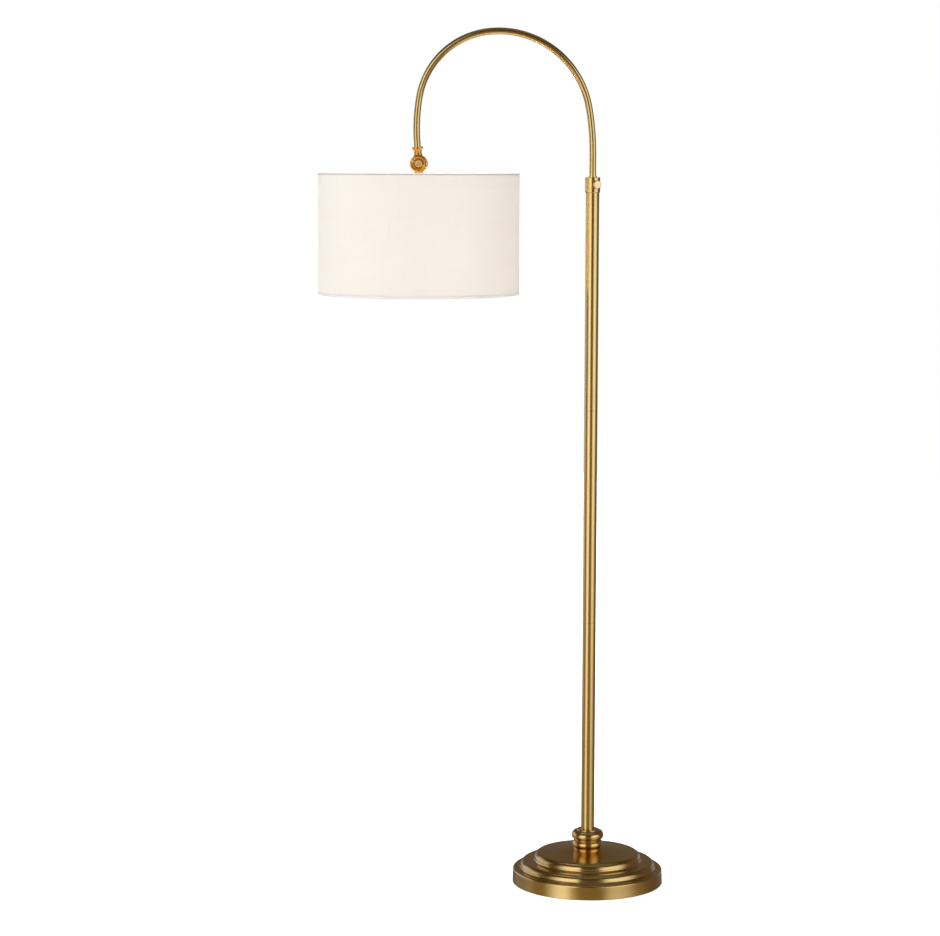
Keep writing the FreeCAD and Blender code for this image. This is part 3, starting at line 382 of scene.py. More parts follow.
@dataclass(frozen=True)
class Moulded(Finish):
    """A moulded plastic, fibre or flexible jacket, with a fine spark texture and handling marks."""

    colour: Colour = (0.02, 0.02, 0.02)
    rubbed: Colour = (0.05, 0.05, 0.05)
    roughness: float = 0.45
    texture_scale: float = 1800.0
    texture_depth: float = 2e-5
    through: float = 0.0

    def lay(self, board: Board, shader: bpy.types.Node, output: bpy.types.Node) -> None:
        """Lays the moulding's colour, roughness and relief.

        Args:
            board: The material's board.
            shader: Its shader.
            output: Its output.
        """
        place = board.place()
        texture = board.cloud(place, self.texture_scale, 2.0, 0.5)
        blotches = board.cloud(place, 60.0, 4.0, 0.6)
        ridge = board.add("ShaderNodeNewGeometry").outputs["Pointiness"]
        handled = board.math("ADD", board.span(blotches, 0.45, 0.8, 0.0, 0.5), board.span(ridge, 0.51, 0.6, 0.0, 0.5))
        board.put(shader.inputs["Base Color"], board.mix(handled, self.colour, self.rubbed))
        board.put(
            shader.inputs["Roughness"], board.span(blotches, 0.3, 0.75, self.roughness - 0.06, self.roughness + 0.08)
        )
        board.put(shader.inputs["Normal"], board.relief(texture, self.texture_depth))
        shader.inputs["Subsurface Weight"].default_value = self.through
        shader.inputs["Subsurface Radius"].default_value = (0.002, 0.002, 0.0015)


@dataclass(frozen=True)
class Woven(Finish):
    """A plain linen weave with slubs, lit through from a lamp inside."""

    thread: Colour = (0.93, 0.905, 0.865)
    slub: Colour = (0.88, 0.84, 0.77)
    glow: Colour = (0.95, 0.885, 0.775)
    let_through: float = 0.42
    pitch: float = 0.62 * MM
    relief_depth: float = 0.16 * MM
    centre: Point = (0.0, 0.0, 0.0)
    radius: float = 0.19

    def lay(self, board: Board, shader: bpy.types.Node, output: bpy.types.Node) -> None:
        """Lays the threads, their slubs and the light let through.

        Args:
            board: The material's board.
            shader: Its shader.
            output: Its output.
        """
        _, height, angle = turned_place(board, self.centre, 2)
        threads_round = round(FULL_TURN * self.radius / self.pitch)
        warp = board.math("SINE", board.math("MULTIPLY", angle, threads_round / 2))
        weft = board.math("SINE", board.math("MULTIPLY", height, math.pi / self.pitch))
        weave = board.math("ABSOLUTE", board.math("MULTIPLY", warp, weft))
        place = board.place()
        upright = board.cloud(board.stretch(place, (1.0, 1.0, 0.035)), 420.0, 3.0, 0.6)
        level = board.cloud(board.stretch(place, (0.03, 0.03, 1.0)), 460.0, 3.0, 0.6)
        slubs = board.math("ADD", board.span(upright, 0.52, 0.76), board.span(level, 0.52, 0.76))
        uneven = board.cloud(place, 22.0, 3.0, 0.5)
        dyed = board.mix(board.math("MULTIPLY", slubs, 0.35, True), self.thread, self.slub)
        colour = board.mix(board.span(uneven, 0.35, 0.75, 0.0, 0.12), dyed, self.slub)
        board.put(shader.inputs["Base Color"], colour)
        board.put(shader.inputs["Roughness"], board.span(slubs, 0.0, 1.0, 0.86, 0.74))
        shader.inputs["Sheen Weight"].default_value = 0.12
        shader.inputs["Sheen Roughness"].default_value = 0.5
        surface = board.relief(weave, self.relief_depth)
        surface = board.relief(slubs, 0.12 * MM, surface)
        board.put(shader.inputs["Normal"], surface)
        lit = board.add("ShaderNodeBsdfTranslucent")
        board.put(lit.inputs["Color"], board.mix(board.math("MULTIPLY", slubs, 0.5, True), self.glow, self.slub))
        board.put(lit.inputs["Normal"], surface)
        both = board.add("ShaderNodeMixShader")
        both.inputs[0].default_value = self.let_through
        board.put(both.inputs[1], shader.outputs[0])
        board.put(both.inputs[2], lit.outputs[0])
        board.put(output.inputs["Surface"], both.outputs[0])


@dataclass(frozen=True)
class Film(Finish):
    """A thin white plastic film that stiffens cloth and spreads the lamp's light."""

    colour: Colour = (0.94, 0.92, 0.88)
    glow: Colour = (0.96, 0.9, 0.8)
    let_through: float = 0.5

    def lay(self, board: Board, shader: bpy.types.Node, output: bpy.types.Node) -> None:
        """Lays the film's skin, its faint ripples and the light let through.

        Args:
            board: The material's board.
            shader: Its shader.
            output: Its output.
        """
        place = board.place()
        ripple = board.cloud(place, 16.0, 3.0, 0.5)
        skin = board.cloud(place, 900.0, 2.0, 0.5)
        board.put(
            shader.inputs["Base Color"], board.mix(board.span(ripple, 0.3, 0.8, 0.0, 0.25), self.colour, self.glow)
        )
        board.put(shader.inputs["Roughness"], board.span(skin, 0.2, 0.8, 0.32, 0.44))
        surface = board.relief(skin, 0.02 * MM, board.relief(ripple, 1.5 * MM))
        board.put(shader.inputs["Normal"], surface)
        lit = board.add("ShaderNodeBsdfTranslucent")
        board.put(lit.inputs["Color"], board.mix(ripple, self.glow, self.colour))
        both = board.add("ShaderNodeMixShader")
        both.inputs[0].default_value = self.let_through
        board.put(both.inputs[1], shader.outputs[0])
        board.put(both.inputs[2], lit.outputs[0])
        board.put(output.inputs["Surface"], both.outputs[0])


@dataclass(frozen=True)
class Frosted(Finish):
    """The etched white glass of a lit lamp bulb."""

    colour: Colour = (0.95, 0.92, 0.86)
    light: Colour = (1.0, 0.82, 0.58)
    strength: float = 2.6

    def lay(self, board: Board, shader: bpy.types.Node, output: bpy.types.Node) -> None:
        """Lays the glass's etched skin and its glow.

        Args:
            board: The material's board.
            shader: Its shader.
            output: Its output.
        """
        place = board.place()
        etched = board.cloud(place, 1500.0, 2.0, 0.5)
        drift = board.cloud(place, 45.0, 2.0, 0.5)
        board.put(shader.inputs["Base Color"], board.mix(board.span(drift, 0.3, 0.8, 0.0, 0.3), self.colour, self.light))
        board.put(shader.inputs["Roughness"], board.span(etched, 0.2, 0.8, 0.3, 0.42))
        board.put(shader.inputs["Normal"], board.relief(etched, 0.01 * MM))
        board.put(shader.inputs["Emission Color"], board.mix(board.span(drift, 0.3, 0.8, 0.0, 0.2), self.light, self.colour))
        shader.inputs["Emission Strength"].default_value = self.strength
        shader.inputs["Transmission Weight"].default_value = 0.25


# ----------------------------------------------------------------------------------------------
# Meshes
# ----------------------------------------------------------------------------------------------


def new_piece(name: str, points: np.ndarray, faces: Sequence[Sequence[int]], finish: Finish) -> bpy.types.Object:
    """Makes a smooth mesh piece with its finish.

    Args:
        name: The piece's name.
        points: One row of x, y and z for each corner, in metres.
        faces: The corners of each face.
        finish: What it is finished in.

    Returns:
        The new object.
    """
    mesh = bpy.data.meshes.new(name)
    mesh.from_pydata([tuple(p) for p in points], [], [tuple(f) for f in faces])
    mesh.validate()
    mesh.polygons.foreach_set("use_smooth", [True] * len(mesh.polygons))
    mesh.materials.append(finish.material())
    piece = bpy.data.objects.new(name, mesh)
    bpy.context.scene.collection.objects.link(piece)
    return piece


def soften(piece: bpy.types.Object, edge: float, levels: int = 0) -> None:
    """Rounds a piece's sharp edges and applies it to the mesh.

    Args:
        piece: The piece.
        edge: The radius of the round, in metres.
        levels: How many times the mesh is then subdivided.
    """
    bevel = piece.modifiers.new("round", "BEVEL")
    bevel.width = edge
    bevel.segments = 2
    bevel.limit_method = "ANGLE"
    bevel.angle_limit = math.radians(50)
    if levels:
        finer = piece.modifiers.new("finer", "SUBSURF")
        finer.levels = finer.render_levels = levels
    graph = bpy.context.evaluated_depsgraph_get()
    made = bpy.data.meshes.new_from_object(piece.evaluated_get(graph))
    piece.modifiers.clear()
    old = piece.data
    piece.data = made
    made.name = old.name
    bpy.data.meshes.remove(old)


def rolled_wall(
    name: str,
    angles: np.ndarray,
    heights: np.ndarray,
    outside: Callable[[float, float], float],
    thickness: float,
    centre: Point,
    finish: Finish,
) -> bpy.types.Object:
    """Rolls a thin sheet into a wall that may pass over its own start.

    Args:
        name: The piece's name.
        angles: The angles round the wall, in radians, from the sheet's start to its end.
        heights: The heights up the wall, in metres.
        outside: Gives the outer face's radius at an angle and a height.
        thickness: The sheet's thickness, in metres.
        centre: The wall's centre.
        finish: What it is finished in.

    Returns:
        The new object.
    """
    rows, columns = len(heights), len(angles)
    layers = []
    for depth in (0.0, thickness):
        for z in heights:
            for a in angles:
                radius = outside(a, z) - depth
                layers.append((centre[0] + radius * math.sin(a), centre[1] - radius * math.cos(a), z))
    inner = rows * columns

    def corner(row: int, column: int, layer: int) -> int:
        """Gives one corner's number."""
        return layer * inner + row * columns + column

    faces = []
    for row in range(rows - 1):
        for column in range(columns - 1):
            near = [corner(row + i, column + j, 0) for i, j in ((0, 0), (0, 1), (1, 1), (1, 0))]
            far = [corner(row + i, column + j, 1) for i, j in ((0, 0), (1, 0), (1, 1), (0, 1))]
            faces += [near, far]
    for column in range(columns - 1):
        faces.append([corner(0, column + i, layer) for i, layer in ((1, 0), (0, 0), (0, 1), (1, 1))])
        faces.append([corner(rows - 1, column + i, layer) for i, layer in ((0, 0), (1, 0), (1, 1), (0, 1))])
    for row in range(rows - 1):
        faces.append([corner(row + i, 0, layer) for i, layer in ((0, 0), (1, 0), (1, 1), (0, 1))])
        faces.append([corner(row + i, columns - 1, layer) for i, layer in ((1, 0), (0, 0), (0, 1), (1, 1))])
    return new_piece(name, np.array(layers), faces, finish)


def swept_ring(
    name: str,
    outline: Sequence[tuple[float, float]],
    centre: Point,
    steps: int,
    finish: Finish,
    ripple: Callable[[float, float, float], float] = lambda angle, radius, height: 0.0,
) -> bpy.types.Object:
    """Sweeps a closed outline round an upright axis.

    Args:
        name: The piece's name.
        outline: The outline's radius and height at each corner, in metres, running anticlockwise.
        centre: A point on the axis.
        steps: How many steps there are to the turn.
        finish: What it is finished in.
        ripple: Gives how far a corner is moved outwards.

    Returns:
        The new object.
    """
    count = len(outline)
    points = []
    for step in range(steps):
        angle = FULL_TURN * step / steps
        for radius, height in outline:
            reach = radius + ripple(angle, radius, height)
            points.append((centre[0] + reach * math.cos(angle), centre[1] + reach * math.sin(angle), height))
    faces = []
    for step in range(steps):
        following = (step + 1) % steps
        for i in range(count):
            j = (i + 1) % count
            faces.append([step * count + i, following * count + i, following * count + j, step * count + j])
    return new_piece(name, np.array(points), faces, finish)


def rounded_outline(
    inner: float, outer: float, low: float, high: float, corner: float, steps: int = 4
) -> list[tuple[float, float]]:
    """Gives a rectangle with round corners, as radius and height.

    Args:
        inner: The inner radius.
        outer: The outer radius.
        low: The foot.
        high: The top.
        corner: The radius of the corners.
        steps: How many steps each corner takes.

    Returns:
        The outline, anticlockwise.
    """
    outline = []
    centres = (
        (outer - corner, low + corner, -math.pi / 2),
        (outer - corner, high - corner, 0.0),
        (inner + corner, high - corner, math.pi / 2),
        (inner + corner, low + corner, math.pi),
    )
    for x, z, start in centres:
        for step in range(steps + 1):
            angle = start + math.pi / 2 * step / steps
            outline.append((x + corner * math.cos(angle), z + corner * math.sin(angle)))
    return outline


def smooth_step(value: float, start: float, end: float) -> float:
    """Gives a soft step from 0 to 1.

    Args:
        value: The number.
        start: Where the step begins.
        end: Where it ends.

    Returns:
        The step's height.
    """
    share = min(1.0, max(0.0, (value - start) / (end - start)))
    return share * share * (3 - 2 * share)


def dress(finish: Finish, *nodes: str) -> None:
    """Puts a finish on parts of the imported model.

    Args:
        finish: The finish.
        *nodes: The parts' names.
    """
    for name in nodes:
        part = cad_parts[name]
        for slot in part.material_slots:
            slot.material = finish.material()
        log.info("%s: %s", name, finish.name)


def stand_for(piece: bpy.types.Object, node: str, body: str) -> None:
    """Lets a new piece stand for a part, ride with its body and hide the part.

    Args:
        piece: The new piece.
        node: The part that it stands for.
        body: The body that it rides on.
    """
    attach(piece, body)
    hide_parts(node)
    log.info("%s: stands for %s on %s", piece.name, node, body)


def middle(node: str) -> Point:
    """Gives the middle of a part's box."""
    low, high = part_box(node)
    return tuple((low + high) / 2)


# ----------------------------------------------------------------------------------------------
# Sub-assemblies
# ----------------------------------------------------------------------------------------------


ZINC = Metal(
    "zinc_steel", bright=(0.62, 0.63, 0.64), dull=(0.5, 0.5, 0.49), hollow=(0.2, 0.19, 0.17), roughness=0.34,
    blotch_scale=60.0, lines_per_metre=2200.0,
)
JACKET = Moulded(
    "lead_jacket", colour=(0.32, 0.2, 0.06), rubbed=(0.4, 0.27, 0.1), roughness=0.3, texture_scale=700.0, through=0.1
)


@dataclass
class WeightedBase:
    """The stepped brass foot, the iron weight in it and the fasteners that hold them together."""

    edge_round: float = 0.7 * MM
    foam_ripple: float = 0.12 * MM
    foam_steps: int = 180
    turned: Metal = Metal("turned_brass", grain=Grain.TURNED_ABOUT_Z, lacquer=0.8)
    iron: Metal = Metal(
        "cast_iron", bright=(0.06, 0.06, 0.065), dull=(0.03, 0.03, 0.032), hollow=(0.012, 0.012, 0.012),
        roughness=0.62, pitting=0.5 * MM, blotch_scale=40.0,
    )
    grommet: Moulded = Moulded("black_moulding")
    foam: Moulded = Moulded(
        "foot_foam", colour=(0.018, 0.018, 0.02), rubbed=(0.05, 0.05, 0.052), roughness=0.9,
        texture_scale=1300.0, texture_depth=0.2 * MM,
    )

    def build(self) -> None:
        """Builds the foam foot that the lamp stands on."""
        low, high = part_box("floor_pad")
        outline = rounded_outline(self.inner_radius(), high.x, low.z, high.z, self.edge_round)

        def ripple(angle: float, radius: float, height: float) -> float:
            """Gives the cut edge's slight waviness."""
            wave = noise.noise(Vector((math.cos(angle) * 6, math.sin(angle) * 6, radius * 40)))
            return self.foam_ripple * wave - self.foam_ripple

        foot = swept_ring("foam_foot", outline, (0.0, 0.0, 0.0), self.foam_steps, self.foam, ripple)
        stand_for(foot, "floor_pad", "stand")

    @staticmethod
    def inner_radius() -> float:
        """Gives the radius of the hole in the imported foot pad."""
        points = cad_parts["floor_pad"].data.vertices
        return min(math.hypot(v.co.x, v.co.y) for v in points)

    def dress(self) -> None:
        """Finishes the foot's metal and moulded parts."""
        dress(self.turned, "base_cover", "base_neck")
        dress(self.iron, "ballast")
        dress(ZINC, "bottom_plate", "plate_screws", "base_rod", "base_washer", "base_nut")
        dress(self.grommet, "cord_grommet")


@dataclass
class Pole:
    """The three screwed pole tubes, the threaded joints in them and the collar on top."""

    drawn: Metal = Metal("drawn_brass", grain=Grain.DRAWN_ALONG_Z, lacquer=0.8, blotch_scale=9.0)
    collar: Metal = Metal("collar_brass", grain=Grain.TURNED_ABOUT_Z, lacquer=0.8, blotch_scale=30.0)

    def dress(self) -> None:
        """Finishes the tubes, the collar and what is inside them."""
        dress(self.drawn, "pole_lower", "pole_middle", "pole_upper")
        dress(self.collar, "pole_collar", "collar_bush")
        dress(ZINC, "pole_foot_insert", "lower_joint_socket", "lower_joint_stud")
        dress(ZINC, "upper_joint_socket", "upper_joint_stud")
        dress(JACKET, "pole_lead")


@dataclass
class HeightLock:
    """The thumb screw that holds the arm at its height."""

    nylon: Moulded = Moulded(
        "white_nylon", colour=(0.8, 0.78, 0.72), rubbed=(0.7, 0.67, 0.6), roughness=0.42, through=0.2
    )
    face: Metal = Metal(
        "polished_brass", bright=(0.88, 0.62, 0.3), dull=(0.82, 0.56, 0.25), roughness=0.16, lacquer=0.5,
        blotch_scale=80.0, line_depth=0.1e-5,
    )

    def dress(self) -> None:
        """Finishes the knob, its screw and the soft pad at its tip."""
        dress(self.face, "lock_knob")
        dress(ZINC, "lock_screw")
        dress(self.nylon, "lock_pad")


@dataclass
class Arm:
    """The bent tube that carries the shade, its guide in the pole and its lead."""

    nylon: Moulded = HeightLock.nylon

    def bent(self) -> Metal:
        """Gives the bent tube's finish, whose lines follow the arch."""
        low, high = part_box("arm_tube")
        radius = (high.x - low.x) / 2
        return Metal(
            "bent_brass", grain=Grain.BENT_IN_ARCH, lacquer=0.8, blotch_scale=12.0, line_depth=0.2e-6,
            centre=((low.x + high.x) / 2, 0.0, high.z - radius),
        )

    def dress(self) -> None:
        """Finishes the tube, its guide, its clip and its lead."""
        dress(self.bent(), "arm_tube")
        dress(self.nylon, "arm_guide_bush")
        dress(ZINC, "guide_clip")
        dress(JACKET, "arm_lead")


@dataclass
class Knuckle:
    """The tilting joint between the arm and the shade, with its winged key."""

    fibre: Moulded = Moulded(
        "vulcanised_fibre", colour=(0.16, 0.07, 0.035), rubbed=(0.22, 0.11, 0.06), roughness=0.6, texture_scale=900.0
    )

    def golden(self) -> Metal:
        """Gives the knuckle's finish, turned about its own pin."""
        # The near-black hollow colour, made stronger by edge_share, is painted shade in the knuckle's grooves and
        # recesses.
        return Metal(
            "golden_brass", bright=(0.9, 0.48, 0.09), dull=(0.76, 0.36, 0.05), hollow=(0.1, 0.025, 0.005),
            roughness=0.17, lacquer=0.4, grain=Grain.TURNED_ABOUT_Y, centre=middle("knuckle_screw"),
            line_depth=0.3e-6, blotch_scale=70.0, edge_share=1.5, metal_share=0.88,
        )

    def dress(self) -> None:
        """Finishes the two halves, the key, the screw and the washers."""
        dress(self.golden(), "knuckle_upper", "knuckle_lower", "key_washer")
        # The key takes a paler copy of the knuckle's brass: a painted highlight that makes its thin blade read as a
        # bright line.
        dress(
            replace(
                self.golden(), name="key_highlight_painted_brass", bright=(0.98, 0.66, 0.26), dull=(0.9, 0.58, 0.2), metal_share=0.62
            ),
            "knuckle_key",
        )
        dress(ZINC, "knuckle_screw")
        dress(self.fibre, "friction_washer")


@dataclass
class DrumShade:
    """The linen drum on its film, with its rolled edge tapes, rings and spider."""

    steps: int = 360
    rows: int = 40
    cloth_thickness: float = 0.45 * MM
    film_thickness: float = 0.6 * MM
    lap: float = 12 * MM
    lap_rise: float = 5 * MM
    slack: float = 0.28 * MM
    tape_thickness: float = 0.4 * MM
    tape_drop: float = 3.2 * MM
    wire: Moulded = Moulded(
        "white_wire", colour=(0.82, 0.81, 0.78), rubbed=(0.7, 0.68, 0.64), roughness=0.32, texture_scale=500.0
    )
    pieces: list[bpy.types.Object] = field(default_factory=list)

    def linen(self, name: str, **changes: object) -> Woven:
        """Gives the linen, centred on the shade."""
        return Woven(name, centre=middle("shade_fabric"), radius=self.radius(), **changes)

    @staticmethod
    def radius() -> float:
        """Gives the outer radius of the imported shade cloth."""
        low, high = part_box("shade_fabric")
        return (high.y - low.y) / 2

    def lapped(self, base: float, thickness: float, seed: float) -> Callable[[float, float], float]:
        """Gives the outer radius of a sheet that laps over its own start.

        Args:
            base: The radius away from the lap.
            thickness: The sheet's thickness.
            seed: Where the sheet's slight slackness is read from.

        Returns:
            A function of the angle and the height.
        """
        rise = self.lap_rise / base
        low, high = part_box("shade_fabric")

        def outside(angle: float, height: float) -> float:
            """Gives the radius at one place."""
            share = (height - low.z) / (high.z - low.z)
            belly = math.sin(math.pi * share)
            wave = noise.noise(Vector((math.sin(angle) * 1.6 + seed, math.cos(angle) * 1.6, height * 5)))
            step = smooth_step(angle, math.pi - rise, math.pi) * (thickness + 0.05 * MM)
            return base + step + self.slack * belly * (wave - 0.6)

        return outside

    def wall(self, name: str, base: float, thickness: float, seed: float, finish: Finish) -> bpy.types.Object:
        """Rolls one of the shade's two sheets.

        Args:
            name: The piece's name.
            base: Its outer radius.
            thickness: Its thickness.
            seed: Where its slight slackness is read from.
            finish: What it is finished in.

        Returns:
            The new object.
        """
        low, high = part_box("shade_fabric")
        lap = self.lap / base
        body = np.linspace(-math.pi, math.pi - 2 * lap, self.steps)
        end = np.linspace(math.pi - 2 * lap, math.pi + lap, 26)[1:]
        heights = np.linspace(low.z, high.z, self.rows)
        return rolled_wall(
            name, np.concatenate([body, end]), heights, self.lapped(base, thickness, seed), thickness,
            middle("shade_fabric"), finish,
        )

    def tape(self, name: str, node: str, upward: int) -> bpy.types.Object:
        """Folds an edge tape over one end of the drum.

        Args:
            name: The piece's name.
            node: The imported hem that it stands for.
            upward: 1 for the top edge and -1 for the bottom edge.

        Returns:
            The new object.
        """
        low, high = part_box(node)
        edge = high.z if upward > 0 else low.z
        outer = (high.y - low.y) / 2 + 0.15 * MM
        inner = self.radius() - 4.2 * MM
        middle_radius = (outer + inner) / 2
        half = (outer - inner) / 2
        foot = edge - upward * self.tape_drop
        turn = edge - upward * half * 0.3
        path = [(outer - 0.02 * MM, foot)]
        for step in range(13):
            angle = math.pi * step / 12
            path.append((middle_radius + half * math.cos(angle), turn + upward * 0.3 * half * math.sin(angle)))
        path.append((inner, foot))
        back = []
        for (radius, height) in reversed(path):
            toward = Vector((middle_radius - radius, turn - upward * self.tape_drop / 3 - height)).normalized()
            back.append((radius + toward.x * self.tape_thickness, height + toward.y * self.tape_thickness))
        outline = path + back

        def ripple(angle: float, radius: float, height: float) -> float:
            """Gives the glued tape's slight unevenness."""
            wave = noise.noise(Vector((math.cos(angle) * 14, math.sin(angle) * 14, 3.0 + upward)))
            return 0.1 * MM * wave

        finish = self.linen("edge_tape", thread=(0.9, 0.87, 0.82), slub=(0.82, 0.78, 0.72), let_through=0.36)
        return swept_ring(name, outline, middle("shade_fabric"), self.steps, finish, ripple)

    def build(self) -> None:
        """Builds the cloth, the film behind it and the two edge tapes."""
        cloth = self.wall("shade_cloth", self.radius(), self.cloth_thickness, 2.0, self.linen("shade_linen"))
        stand_for(cloth, "shade_fabric", "shade_head")
        low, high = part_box("shade_liner")
        film = self.wall(
            "shade_film_sheet", (high.y - low.y) / 2 - self.film_thickness / 4, self.film_thickness, 7.0,
            Film("shade_film"),
        )
        stand_for(film, "shade_liner", "shade_head")
        for name, node, upward in (
            ("top_edge_tape", "shade_top_hem", 1),
            ("bottom_edge_tape", "shade_bottom_hem", -1),
        ):
            made = self.tape(name, node, upward)
            stand_for(made, node, "shade_head")
        low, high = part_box("shade_fabric")
        cut = (FULL_TURN * self.radius() + self.lap, high.z - low.z)

    def dress(self) -> None:
        """Finishes the rings and the spider."""
        dress(self.wire, "spider_hub", "spider_arms", "shade_top_ring", "shade_bottom_ring")


@dataclass
class LampHolder:
    """The stem, the socket with its turn switch, and the bulb."""

    black: Moulded = WeightedBase.grommet
    paper: Moulded = Moulded(
        "socket_fibre", colour=(0.3, 0.2, 0.11), rubbed=(0.38, 0.27, 0.16), roughness=0.7, texture_scale=700.0
    )

    def thin_brass(self) -> Metal:
        """Gives the socket's thin drawn brass."""
        return Metal(
            "socket_brass", bright=(0.86, 0.62, 0.26), dull=(0.76, 0.52, 0.19), roughness=0.22, lacquer=0.2,
            grain=Grain.TURNED_ABOUT_Z, centre=middle("socket_shell"), blotch_scale=80.0,
        )

    def dress(self) -> None:
        """Finishes every part of the holder and the bulb."""
        dress(self.thin_brass(), "socket_cap", "socket_shell", "socket_screw_shell", "socket_contact")
        dress(ZINC, "shade_stem", "stem_nut")
        dress(self.paper, "socket_sleeve")
        dress(self.black, "socket_core", "switch_knob")
        dress(JACKET, "socket_lead")
        cap = Metal(
            "bulb_cap_metal", bright=(0.72, 0.72, 0.73), dull=(0.62, 0.62, 0.63), hollow=(0.3, 0.29, 0.28),
            roughness=0.28, grain=Grain.TURNED_ABOUT_Z, centre=middle("bulb_cap"), blotch_scale=90.0,
        )
        dress(cap, "bulb_cap")
        dress(Frosted("bulb_frosted"), "bulb_glass")
        core = Moulded("bulb_core", colour=(0.85, 0.8, 0.7), rubbed=(0.75, 0.7, 0.6), roughness=0.4, texture_scale=400.0)
        dress(core, "bulb_mount")


# ----------------------------------------------------------------------------------------------
# Studio
# ----------------------------------------------------------------------------------------------


@dataclass(frozen=True)
class SoftBox:
    """One large soft lamp of the studio."""

    name: str
    place: Point
    target: Point
    width: float
    watts: float
    colour: Colour = (1.0, 1.0, 1.0)

    def build(self) -> None:
        """Adds the lamp, unseen in polished metal."""
        light = bpy.data.lights.new(self.name, "AREA")
        light.shape = "SQUARE"
        light.size = self.width
        light.energy = self.watts
        light.color = self.colour
        lamp = bpy.data.objects.new(self.name, light)
        lamp.location = self.place
        lamp.rotation_euler = (Vector(self.target) - Vector(self.place)).to_track_quat("-Z", "Y").to_euler()
        lamp.visible_glossy = False
        lamp.visible_camera = False
        bpy.context.scene.collection.objects.link(lamp)


@dataclass(frozen=True)
class Strip:
    """One upright strip of light in the room that the brass mirrors, in degrees round from the front.

    The strip comes in over start and goes out over end. It has its low level under the horizon and its full
    level over it, and it is seen from foot to top.
    """

    start: tuple[float, float]
    end: tuple[float, float]
    level: float
    low_level: float
    lean: float = 0.0
    foot: tuple[float, float] = (-40.0, -20.0)
    top: tuple[float, float] = (36.0, 58.0)


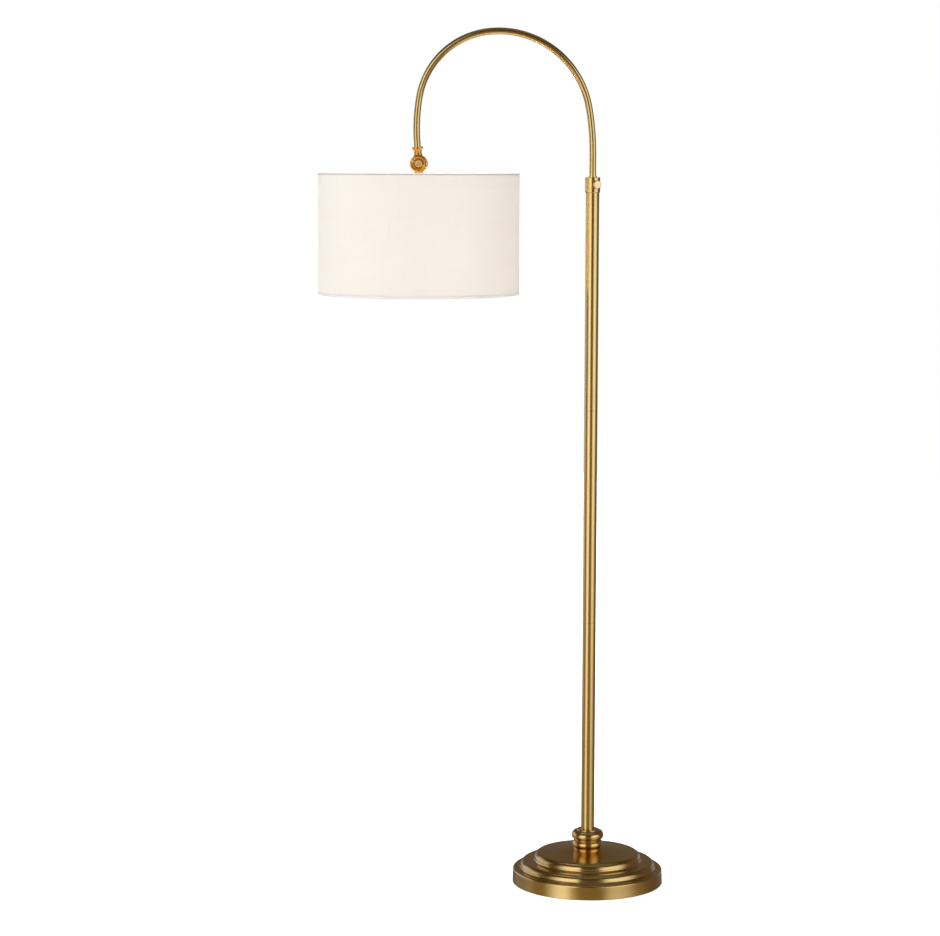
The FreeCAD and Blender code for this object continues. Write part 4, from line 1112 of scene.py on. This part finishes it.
@dataclass
class Studio:
    """The pale floor, the room's soft light and the camera."""

    floor_size: float = 14.0
    floor_colour: Colour = (0.93, 0.93, 0.93)
    backdrop: Colour = (1.0, 1.0, 1.0)
    room_low: Colour = (0.24, 0.19, 0.125)
    room_high: Colour = (0.07, 0.055, 0.03)
    room_back: Colour = (0.13, 0.1, 0.075)
    strip_colour: Colour = (0.95, 1.1, 1.45)
    strips: tuple[Strip, ...] = (
        Strip((-74, -40), (-32, -27), 1.15, 0.75, 2.2, top=(24, 42)),
        Strip((20, 40), (50, 86), 1.05, 0.22, 1.2, top=(24, 42)),
        Strip((-150, -140), (-102, -84), 0.5, 0.04, top=(20, 35)),
        Strip((138, 150), (158, 170), 0.2, 0.0, top=(4, 14)),
        Strip((-170, -158), (-150, -138), 0.22, 0.0, top=(4, 14)),
        Strip((-200, -190), (190, 200), 0.12, 0.0, foot=(52, 60), top=(78, 86)),
        Strip((-200, -190), (190, 200), 0.7, 0.7, foot=(-100, -95), top=(-62, -38)),
    )
    camera_place: Point = (0.0, -5.1514, 1.3812)
    camera_yaw: float = 0.0446
    camera_pitch: float = 0.1115
    camera_roll: float = 0.0030
    lens: float = 103.97
    sensor: float = 36.0
    top_strength: float = 4.4
    bulb_watts: float = 3.1
    bulb_light_radius: float = 32 * MM

    def build_floor(self) -> None:
        """Lays the plain pale floor."""
        half = self.floor_size / 2
        material = bpy.data.materials.new("floor_finish")
        material.use_nodes = True
        board = Board(material.node_tree)
        shader = board.add("ShaderNodeBsdfPrincipled")
        output = board.add("ShaderNodeOutputMaterial")
        shader.inputs["Base Color"].default_value = (*self.floor_colour, 1.0)
        shader.inputs["Roughness"].default_value = 0.9
        board.put(output.inputs["Surface"], shader.outputs[0])
        mesh = bpy.data.meshes.new("studio_floor")
        mesh.from_pydata(
            [(-half, -half, 0.0), (half, -half, 0.0), (half, half, 0.0), (-half, half, 0.0)], [], [(0, 1, 2, 3)]
        )
        mesh.materials.append(material)
        floor = bpy.data.objects.new("studio_floor", mesh)
        floor.visible_glossy = False
        floor.visible_diffuse = False
        bpy.context.scene.collection.objects.link(floor)

    def strip_light(self, board: Board, strip: Strip, angle: Socket, rise: Socket) -> Socket:
        """Adds one strip of light to the room.

        Args:
            board: The room's board.
            strip: The strip.
            angle: The direction's angle round from the front, in degrees.
            rise: The direction's rise above the level, in degrees.

        Returns:
            How bright the strip is in that direction.
        """
        leaning = board.math("MULTIPLY", board.math("ADD", rise, 15.0), strip.lean)
        bounded = board.math("MINIMUM", board.math("MAXIMUM", leaning, -6.0), 14.5)
        turned = board.math("SUBTRACT", angle, bounded)
        across = board.math(
            "MULTIPLY", board.span(angle, *strip.start), board.span(turned, *strip.end, 1.0, 0.0)
        )
        upward = board.span(rise, -17.0, -5.0, strip.low_level, strip.level)
        top = board.span(rise, *strip.top, 1.0, 0.0)
        foot = board.span(rise, *strip.foot)
        return board.math("MULTIPLY", board.math("MULTIPLY", across, upward), board.math("MULTIPLY", top, foot))

    def build_room(self) -> None:
        """Makes the soft light that surrounds the lamp."""
        world = bpy.data.worlds.new("studio_room")
        bpy.context.scene.world = world
        world.use_nodes = True
        board = Board(world.node_tree)
        x, y, z = board.split(board.add("ShaderNodeTexCoord").outputs["Generated"])
        turn = board.math("ARCTAN2", x, board.math("MULTIPLY", y, -1.0))
        angle = board.math("MULTIPLY", turn, 180 / math.pi)
        rise = board.math("MULTIPLY", board.math("ARCSINE", z), 180 / math.pi)
        level: Value = 0.0
        for strip in self.strips:
            level = board.math("ADD", level, self.strip_light(board, strip, angle, rise))
        lit = board.add("ShaderNodeVectorMath", operation="SCALE")
        lit.inputs[0].default_value = self.strip_colour
        board.put(lit.inputs["Scale"], level)
        front = board.mix(board.span(rise, -9.0, 6.0), self.room_low, self.room_high)
        back = board.mix(board.span(rise, 26.0, 44.0), self.room_back, self.room_high)
        walls = board.mix(board.span(y, -0.1, 0.5), front, back)
        room = board.add("ShaderNodeVectorMath", operation="ADD")
        board.put(room.inputs[0], lit.outputs[0])
        board.put(room.inputs[1], walls)
        seen = board.add("ShaderNodeLightPath").outputs["Is Camera Ray"]
        shown = board.mix(seen, room.outputs[0], self.backdrop)
        background = board.add("ShaderNodeBackground")
        board.put(background.inputs["Color"], shown)
        output = board.add("ShaderNodeOutputWorld")
        board.put(output.inputs["Surface"], background.outputs[0])

    def build_lamps(self) -> None:
        """Adds the soft boxes and the light of the lamp's own bulb."""
        low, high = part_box("shade_fabric")
        shade = ((low.x + high.x) / 2, 0.0, (low.z + high.z) / 2)
        for box in (
            SoftBox("front_left_box", (-3.0, -4.2, 2.2), shade, 2.4, 110.0, (0.97, 0.99, 1.0)),
            SoftBox("front_right_box", (2.8, -4.0, 2.0), shade, 2.4, 60.0, (1.0, 0.97, 0.93)),
            SoftBox("left_box", (-5.2, -0.4, 1.9), shade, 2.4, 85.0, (0.9, 0.97, 1.08)),
            SoftBox("right_box", (4.9, -0.4, 1.9), shade, 2.4, 85.0, (0.96, 0.99, 1.02)),
            SoftBox("back_box", (0.0, 4.5, 2.4), shade, 2.6, 60.0),
        ):
            box.build()
        sky = bpy.data.lights.new("top_light", "SUN")
        sky.energy = self.top_strength
        sky.angle = math.radians(90)
        above = bpy.data.objects.new("top_light", sky)
        above.location = (0.0, 0.0, 4.0)
        above.visible_glossy = False
        bpy.context.scene.collection.objects.link(above)
        glow = bpy.data.lights.new("bulb_glow", "POINT")
        glow.energy = self.bulb_watts
        glow.color = (1.0, 0.78, 0.55)
        glow.shadow_soft_size = self.bulb_light_radius
        lamp = bpy.data.objects.new("bulb_glow", glow)
        bulb_low, bulb_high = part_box("bulb_glass")
        lamp.location = (shade[0], 0.0, bulb_low.z + (bulb_high.x - bulb_low.x) / 2)
        lamp.visible_camera = False
        lamp.visible_glossy = False
        bpy.context.scene.collection.objects.link(lamp)

    def build_camera(self) -> None:
        """Sets the camera at standing height, a little turned and tipped."""
        yaw, pitch, roll = self.camera_yaw, self.camera_pitch, self.camera_roll
        ahead = Vector((-math.sin(yaw) * math.cos(pitch), math.cos(yaw) * math.cos(pitch), -math.sin(pitch)))
        right = Vector((math.cos(yaw), math.sin(yaw), 0.0))
        above = right.cross(ahead)
        side = right * math.cos(roll) + above * math.sin(roll)
        upright = above * math.cos(roll) - right * math.sin(roll)
        turn = Matrix((side, upright, -ahead)).transposed()
        data = bpy.data.cameras.new("studio_camera")
        data.lens = self.lens
        data.sensor_width = self.sensor
        camera = bpy.data.objects.new("studio_camera", data)
        camera.matrix_world = Matrix.Translation(self.camera_place) @ turn.to_4x4()
        bpy.context.scene.collection.objects.link(camera)
        bpy.context.scene.camera = camera

    def build(self) -> None:
        """Builds the whole studio and sets plain colour handling."""
        self.build_floor()
        self.build_room()
        self.build_lamps()
        self.build_camera()
        bpy.context.scene.view_settings.view_transform = "Standard"
        log.info("studio: floor, room, lamps and camera are set")


def main() -> None:
    """Builds every sub-assembly in order, then the studio."""
    logging.basicConfig(level=logging.INFO, format="%(name)s: %(message)s")
    for assembly in (WeightedBase(), Pole(), HeightLock(), Arm(), Knuckle(), DrumShade(), LampHolder()):
        if hasattr(assembly, "build"):
            assembly.build()
        assembly.dress()
        log.info("%s is finished", type(assembly).__name__)
    Studio().build()


if __name__ == "__main__":
    main()
